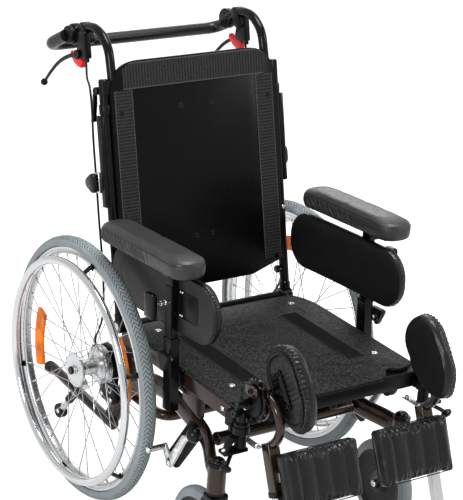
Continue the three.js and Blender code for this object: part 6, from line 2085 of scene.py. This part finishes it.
@dataclass
class LegRest:
    """A lifting leg rest: hanger, toothed lift disc, curved arm, foot tube, footplate and two pads."""

    post_x: float = 240.0
    post_y: float = -558.0
    lift_y: float = -575.0
    lift_z: float = 462.0
    tube_x: float = 200.0
    slope: float = 23.0
    sleeve_y: float = -607.0
    sleeve_z: float = 372.0
    teeth: int = 12

    @property
    def pose(self) -> Array:
        """The lower leg's sloping frame: Z up along the foot tube."""
        return leaning(self.tube_x, self.sleeve_y, self.sleeve_z, self.slope)

    def hanger(self) -> list[tuple[Solid, Finish]]:
        """Gives the post, its collars and feet, the grip bar, the toothed disc and its latch."""
        x, y = self.post_x, self.post_y
        post = turned([(9.5, 352), (11, 353.5), (11, 432), (9.5, 434)], (x, y, 0), (0, 0, 1), 36)
        collar = turned([(12, 400.3), (16, 401), (16, 408), (13, 410)], (x, y, 0), (0, 0, 1), 36)
        low = turned([(11.2, 352), (12.6, 353), (12.6, 375), (11.4, 377.6)], (x, y, 0), (0, 0, 1), 36)
        stay = sweep(
            curve_through([(252, y, 379), (266, y, 371), (277, y, 344)], 8), soft_square(2.6, 10, 1.2),
            (1, 0, 0)
        )
        foot = plate(box_outline(x - 14, y - 14, 286, y + 14, 6), "z", 345, 351.6, 1.2)
        strip = plate(box_outline(206, -590, 222, y + 34, 5), "z", 356, 359, 0.8)
        lever = sweep(
            curve_through([(262, y - 2, 342), (276, -572, 335), (291, -584, 325)], 8),
            soft_square(4.2, 3, 1.2), (1, 0, 0)
        )
        paddle = turned(
            [(3, 0), (9, 1.5), (12.4, 5), (12.6, 10), (9, 13.4), (2, 14)], (287, -581, 331),
            (0.45, -0.4, -0.8), 28
        )
        studs = [
            hex_bolt((a, b, c), (0, 0, 1), 5, 5) for a, b,
            c in ((280, y, 351.4), (214, -580, 358.8), (214, -536, 358.8))
        ]
        bar = rod((225, y, 432), (264, y, 432), 9, 1, 32)
        bar_end = turned([(9.2, 0), (9.4, 4), (7, 6.6), (3, 7)], (257, y, 432), (1, 0, 0), 32)
        t = (np.arange(self.teeth)[:, None] + np.array([0.0, 0.22, 0.5, 0.72])) / self.teeth * FULL_TURN
        reach = np.tile([42.0, 46.0, 46.0, 42.0], self.teeth)
        gear = np.stack(
            [self.lift_y + reach * np.cos(t.ravel()), self.lift_z + reach * np.sin(t.ravel())], 1
        )
        disc = plate(gear, "x", 219.3, 228.7, 1.2)
        cover = turned(
            [(34, 0), (35, 1), (35, 4), (31, 6), (14, 6.4), (9, 6.4), (9, 0)],
            (228.4, self.lift_y, self.lift_z), (1, 0, 0), 48, True
        )
        latch = plate(
            outline([(x - 9, y), (x + 9, y), (x + 7, -522), (x - 7, -522)], 5), "z", 434.3, 438.8, 1
        )
        bolts = [hex_bolt((x + s, y - 3, 438.6), (0, 0, 1), 4.5, 3) for s in (-4,)]
        spring = [rod((x - 13, y + 12, z), (x - 4, y + 12, z), 2.6, 0.5) for z in (384, 392)]
        hook = plate(strap_outline((-569, 488), 11, (-594, 489), 9), "x", 235.2, 240, 1)
        hook_screw = hex_bolt((239.8, -581, 488), (1, 0, 0), 6.5, 5)
        return [
            (joined([post, bar, disc, latch, stay, foot]), GLOSS_BLACK),
            (joined([collar, low, bar_end, cover]), SATIN_BLACK),
            (joined([*bolts, *spring, *studs, strip]), STEEL), (hook, BRONZE),
            (joined([hook_screw, lever, paddle]), SHINY_PLASTIC),
        ]

    def arm(self) -> list[tuple[Solid, Finish]]:
        """Gives the plain disc, the curved bronze neck, the sleeve and the calf pad's pin."""
        disc = turned(
            [(8.4, 0), (40, 0), (43, 2), (43, 6), (40, 8), (8.4, 8)], (210.7, self.lift_y, self.lift_z),
            (1, 0, 0), 56, True
        )
        neck_x = 208.7
        line = [(-567, 474), (-603, 477), (-634, 460), (-646, 428), (-634, 394), (-606, 366)]
        share = [0, 0, 0, 1 / 3, 2 / 3, 1]
        neck = [(neck_x + (self.tube_x - neck_x) * s, y, z) for (y, z), s in zip(line, share)]
        tube = sweep(curve_through(neck, 12), oval(9.9, 9.9, 28))
        catch = plate(strap_outline((-588, 470), 13, (-607, 481), 9), "x", 200.5, 210.5, 2)
        sleeve = [(plate(soft_square(14, 14, 3), "z", -110, 2.6, 1.2).moved(self.pose))]
        stub = [
            brick((-5, -29, -78), (5, -13, -58.4), 0.8, 1).moved(self.pose),
            rod((0, -29, -78), (0, -29, -58.4), 5).moved(self.pose)
        ]
        lip = plate(soft_square(15.4, 15.4, 4), "z", -110, -98, 1.2).moved(self.pose)
        return [
            (joined([disc, tube, *sleeve]), BRONZE), (joined([catch, lip]), SATIN_BLACK),
            (joined(stub), STEEL)
        ]

    def foot(self) -> list[tuple[Solid, Finish]]:
        """Gives the foot tube, its hinge block and the footplate's pin."""
        tube = plate(soft_square(11, 11, 3), "z", -285, -50, 1).moved(self.pose)
        beam = brick((188.9, -767.6, 104.2), (211.1, -707, 120.8), 2, 3)
        pin = rod((200, -766, 112), (200, -871.8, 112), 4.8)
        head = hex_bolt((200, -868.4, 112), (0, -1, 0), 7.8, 3.8)
        return [(tube, ALUMINIUM), (beam, SATIN_BLACK), (joined([pin, head]), STEEL)]

    def footplate(self) -> list[tuple[Solid, Finish]]:
        """Gives the footplate with its raised ribs, web and hinge barrel."""
        tread = plate(box_outline(35, -900, 186, -768, 24), "z", 107.6, 116.4, 2)
        web = brick((165, -868, 107.8), (198, -793, 116.2), 1.5, 3)
        barrel = turned(
            [(5.4, 0), (9.4, 0), (10, 1), (10, 99), (9.4, 100), (5.4, 100)], (200, -868, 112), (0, 1, 0),
            32, True
        )
        ribs = [rod((60, y, 116.2), (165, y, 116.2), 1.3, 0.6, 10) for y in range(-880, -780, 12)]
        heel = sweep(
            bent_line([(52, -771, 113), (52, -769.5, 132), (170, -769.5, 132), (170, -771, 113)], 14),
            oval(1.6, 1.6, 10), (0, 1, 0)
        )
        return [(joined([tread, web, barrel]), MATT_PLASTIC), (joined(ribs), RUBBER), (heel, STEEL)]

    def calf_pad(self, shop: Workshop, side: Side) -> None:
        """Makes a calf pad: upright channels between pinched lines, with drawn top and bottom edges."""
        long, wide = 96.0, 61.0
        pad = Pad(
            half_long=long, half_wide=wide, corner=9, cap=5.0, pressure=5.0,
            rings=[(4, 0.4), (0.5, 3), (0, 9), (0, 21), (2.5, 26), (9, 30), (24, 32)],
        )

        def shape(points: Array, normals: Array) -> Array:
            """Gives five swollen channels between narrow pinches, with puckers at the ends."""
            across = (points[:, 0] + long) / (2 * long)
            wave = np.abs(np.sin(5 * np.pi * across))
            facing = np.clip(normals[:, 2], 0, 1)
            dish = -8.0 * np.sin(np.pi * np.clip(across, 0, 1))
            channel = 6.0 * wave**0.5 - 4.4
            end = np.exp(-(((np.abs(points[:, 1]) - wide) / 20) ** 2))
            pucker = 1.7 * np.sin(across * 96 + 2 * np.sin(across * 17)) * end
            lift = (dish * facing)[:, None] * np.array([0, 0, 1])
            return lift + normals * (channel * facing + pucker * facing)[:, None]

        def place(points: Array) -> Array:
            """Hangs the pad in front of the sleeve: its X across, its Y up the slope."""
            hung = np.stack([points[:, 0] - 80, -points[:, 2] - 34.4, points[:, 1] - 78], 1)
            pose = self.pose
            return (hung @ pose[:3, :3].T + pose[:3, 3]) * np.array([side.value, 1, 1])

        body = side.node("calf_pad")
        made = pad.make(shop, side.node("calf_cushion"), body, side.node("calf_pad"), place, LEATHER, shape)
        piping = []
        for rise in (1.5, 25.0):
            ring = pad.ring(1.2 if rise > 5 else -0.4, 16)
            loop = shop.metres(place(np.column_stack([ring, np.full(len(ring), rise)])))
            snapped = np.array([ArmRest.snap(made, p) for p in loop]) - np.array([0, shop.axle_y, 0])
            piping.append(sweep(snapped / MILLIMETRE, oval(1.2, 1.2, 8), (0.3, 1, 0.2), closed=True))
        shop.piece(side.node("calf_piping"), body, [(joined(piping), THREAD)])

    def knee_pad(self, shop: Workshop, side: Side) -> None:
        """Makes a knee pad: a smooth cushion whose leather is gathered over the tray's rim."""
        turn = math.radians(-50)
        pad = Pad(
            half_long=92.5, half_wide=60, corner=57, cap=3.5, voxel=4.0,
            rings=[(12, 0.6), (3, 2), (0, 8), (1, 22), (8, 31), (22, 36), (42, 38)],
        )

        def shape(points: Array, normals: Array) -> Array:
            """Gives gathers round the rim and draws the lower end in, so that the outline is an egg's."""
            _, run = pad.edge_share(points)
            rim = np.exp(-(((points[:, 2] - 6) / 7) ** 2))
            gather = rim * (1.5 * np.sin(run * 0.62 + 0.2 * points[:, 2]) + 1.0 * np.sin(run * 1.13 + 1.2))
            neck = np.clip((-points[:, 0] - 5) / 100, 0, 1) ** 1.2
            narrow = np.stack(
                [np.zeros(len(points)), -points[:, 1] * 0.42 * neck, np.zeros(len(points))], 1
            )
            return normals * gather[:, None] + narrow

        def place(points: Array) -> Array:
            """Stands the pad beside the knee: its crown towards the sitter's leg, its long axis sloping."""
            c, s = math.cos(turn), math.sin(turn)
            x = 195 - points[:, 2]
            y = -640 + c * points[:, 0] - s * points[:, 1]
            z = 506 - s * points[:, 0] - c * points[:, 1]
            return np.stack([x, y, z], 1) * np.array([side.value, 1, 1])

        body = side.node("knee_pad")
        pad.make(
            shop, side.node("knee_cushion"), body, side.node("knee_pad"), place, LEATHER, shape,
            STRETCH_CLOTH, 31
        )
        shop.piece(side.node("knee_tray"), body, [(s.on(side), f) for s, f in self.tray(place)])

    def tray(self, place: Callable[[Array], Array]) -> list[tuple[Solid, Finish]]:
        """Gives the tray behind the knee pad, its slotted plate with thin black sheets of painted shade over its
        openings, and the rod through the lift disc.
        """
        side_free = place(np.array([[0.0, 0, 0]]))[0, 0] < 0
        flip = np.array([-1 if side_free else 1, 1, 1])
        ring = soft_square(80, 48, 45, 12)
        narrow = 1 - 0.42 * np.clip((-ring[:, 0] - 5) / 100, 0, 1) ** 1.2
        ring = ring * np.stack([np.ones(len(ring)), narrow], 1)
        layers = []
        for scale, rise in ((1.0, 3.5), (1.02, -2.4), (0.97, -4.2), (0.92, -3.4), (0.87, 0.8), (0.5, 1.0)):
            layers.append(place(np.column_stack([ring * scale, np.full(len(ring), rise)])) * flip)
        shell = grid(np.stack(layers))
        stay = plate(strap_outline((self.lift_y, self.lift_z), 11, (-621, 497), 12), "x", 194.6, 197.5, 0.8)
        # Painted shade: thin rubber sheets stand for the dark of the stay's and the rail's openings.
        slot_shade_sheet = plate(strap_outline((-604, 484), 4, (-624, 500), 4), "x", 197.2, 197.9, 0.2)
        shaft = rod((193.5, self.lift_y, self.lift_z), (268, self.lift_y, self.lift_z), 6.9, 1, 32)
        rail = plate(strap_outline((-612, 530), 10, (-652, 478), 10), "x", 194.8, 198.6, 0.8)
        rail_slot_shade_sheet = plate(strap_outline((-620, 520), 4, (-644, 488), 4), "x", 198.3, 199.0, 0.2)
        bolts = [
            hex_bolt((198.4, y, z), (1, 0, 0), 5.2, 4) for y, z in ((-611, 531), (-653, 477), (-628, 496))
        ]
        return [
            (shell, MATT_PLASTIC), (joined([stay, shaft, rail]), GLOSS_BLACK),
            (joined([slot_shade_sheet, rail_slot_shade_sheet]), RUBBER),
            (joined(bolts), SHINY_PLASTIC),
        ]

    def make(self, shop: Workshop, side: Side) -> None:
        """Makes one leg rest."""
        hanger = [(s.on(side), f) for s, f in self.hanger()]
        shop.piece(
            side.node("leg_bracket"), side.node("leg_hanger"), hanger, [side.node("leg_hanger")],
        )
        arm = [(s.on(side), f) for s, f in self.arm()]
        shop.piece(
            side.node("curved_leg_arm"), side.node("leg_arm"), arm, [side.node("leg_arm")]
        )
        foot = [(s.on(side), f) for s, f in self.foot()]
        shop.piece(
            side.node("foot_stem"), side.node("foot_tube"), foot, [side.node("foot_tube")]
        )
        step = [(s.on(side), f) for s, f in self.footplate()]
        shop.piece(
            side.node("foot_rest"), side.node("footplate"), step, [side.node("footplate")]
        )
        self.calf_pad(shop, side)
        self.knee_pad(shop, side)


# ---- Studio ---------------------------------------------------------------------------------

# Each square lamp: its name, its place in metres, its side in metres and its power in watts.
LAMPS = (
    ("overhead", (0.2, 0.1, 2.9), 1.0, 70),
    ("front_left", (-2.8, -1.3, 1.6), 0.9, 56),
    ("front_right", (2.5, -1.9, 2.3), 0.8, 32),
    ("rear", (1.8, 2.4, 1.9), 0.9, 14),
)


@dataclass
class Studio:
    """The camera, the pale floor, the soft lamps and the world.

    Attributes:
        eye: The camera's place in the axle frame, in metres.
        azimuth: Its heading in degrees, where 0 looks along +Y.
        elevation: Its height angle in degrees.
        roll: Its turn about its own view in degrees.
        focal: The lens in millimetres on a 36 mm long side.
    """

    eye: tuple[float, float, float] = (-2.293, -3.421, 2.159)
    azimuth: float = -34.91
    elevation: float = 21.33
    roll: float = 3.98
    focal: float = 138.2

    def camera(self, axle_y: float) -> None:
        """Makes the camera: its axes from the two angles, turned by the roll."""
        a, e, r = (math.radians(v) for v in (self.azimuth, self.elevation, self.roll))
        back = Vector((math.sin(a) * math.cos(e), -math.cos(a) * math.cos(e), math.sin(e)))
        right = Vector((math.cos(a), math.sin(a), 0))
        up = back.cross(right)
        turned_right = right * math.cos(r) + up * math.sin(r)
        turned_up = up * math.cos(r) - right * math.sin(r)
        data = bpy.data.cameras.new("camera")
        data.sensor_width, data.lens, data.clip_end = 36.0, self.focal, 50.0
        camera = bpy.data.objects.new("camera", data)
        place = Matrix((turned_right, turned_up, back)).transposed().to_4x4()
        place.translation = Vector(self.eye) + Vector((0, axle_y, 0))
        camera.matrix_world = place
        bpy.context.scene.collection.objects.link(camera)
        bpy.context.scene.camera = camera

    def lamp(
        self, name: str, place: Sequence[float], target: Sequence[float], size: float, power: float
    ) -> None:
        """Makes a square soft lamp that faces a point."""
        data = bpy.data.lights.new(name, "AREA")
        data.shape, data.size, data.energy = "SQUARE", size, power
        lamp = bpy.data.objects.new(name, data)
        lamp.location = place
        heading = Vector(target) - Vector(place)
        lamp.rotation_euler = heading.to_track_quat("-Z", "Y").to_euler()
        bpy.context.scene.collection.objects.link(lamp)

    def floor(self) -> None:
        """Makes the floor: matt white that shows white to the camera except for part of its shadow."""
        mesh = bpy.data.meshes.new("studio_floor")
        half = 12.0
        mesh.from_pydata(
            [(-half, -half, -0.001), (half, -half, -0.001), (half, half, -0.001), (-half, half, -0.001)],
            [], [(0, 1, 2, 3)]
        )
        floor = bpy.data.objects.new("studio_floor", mesh)
        bpy.context.scene.collection.objects.link(floor)
        wiring = Wiring("studio_white")
        wiring.fix(Roughness=1.0)
        wiring.shader.inputs["Base Color"].default_value = (0.82, 0.82, 0.82, 1)
        path = wiring.node("LightPath").outputs
        seen = wiring.maths("MAXIMUM", path["Is Camera Ray"], path["Is Glossy Ray"])
        white = wiring.node("Emission", {"Color": (1, 1, 1, 1), "Strength": 1.74}).outputs[0]
        mixed = wiring.node(
            "MixShader", {0: wiring.maths("MULTIPLY", seen, 0.5), 1: wiring.shader.outputs[0], 2: white}
        )
        sink = next(n for n in wiring.tree.nodes if n.type == "OUTPUT_MATERIAL")
        wiring.tree.links.new(mixed.outputs[0], sink.inputs[0])
        mesh.materials.append(wiring.material)

    def world(self) -> None:
        """Makes the world: white to the camera and in reflections, and a plain soft light elsewhere."""
        world = bpy.data.worlds.new("studio")
        world.use_nodes = True
        tree = world.node_tree
        tree.nodes.clear()
        path = tree.nodes.new("ShaderNodeLightPath")
        seen = path.outputs["Is Camera Ray"]
        for ray in ("Is Glossy Ray", "Is Transmission Ray"):
            either = tree.nodes.new("ShaderNodeMath")
            either.operation = "MAXIMUM"
            tree.links.new(seen, either.inputs[0])
            tree.links.new(path.outputs[ray], either.inputs[1])
            seen = either.outputs[0]
        soft, white = tree.nodes.new("ShaderNodeBackground"), tree.nodes.new("ShaderNodeBackground")
        soft.inputs[0].default_value, soft.inputs[1].default_value = (0.97, 0.98, 1.0, 1), 0.65
        white.inputs[0].default_value, white.inputs[1].default_value = (1, 1, 1, 1), 1.0
        mix, output = tree.nodes.new("ShaderNodeMixShader"), tree.nodes.new("ShaderNodeOutputWorld")
        tree.links.new(seen, mix.inputs[0])
        tree.links.new(soft.outputs[0], mix.inputs[1])
        tree.links.new(white.outputs[0], mix.inputs[2])
        tree.links.new(mix.outputs[0], output.inputs[0])
        bpy.context.scene.world = world

    def make(self, axle_y: float) -> None:
        """Makes the whole studio."""
        self.camera(axle_y)
        self.floor()
        self.world()
        middle = (0.0, 0.0, 0.5)
        for name, place, size, power in LAMPS:
            self.lamp(name, place, middle, size, power)
        bpy.context.scene.view_settings.view_transform = "Standard"


def main() -> None:
    """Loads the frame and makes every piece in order."""
    logging.basicConfig(level=logging.INFO, format="%(message)s")
    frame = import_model()
    low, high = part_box("tyre_left")
    axle_y = (low[1] + high[1]) / 2
    shop = Workshop(axle_y)
    Studio().make(axle_y)
    back = Back()
    back.make(shop)
    PushGear(back).make(shop)
    SeatFrame().make(shop)
    BaseFrame().make(shop)
    for side in Side:
        DriveWheel().make(shop, side)
        Caster().make(shop, side)
        ArmRest().make(shop, side)
        LegRest().make(shop, side)
    bpy.context.view_layer.update()
    LOG.info("%d pieces", len(shop.made))


if __name__ == "__main__":
    main()
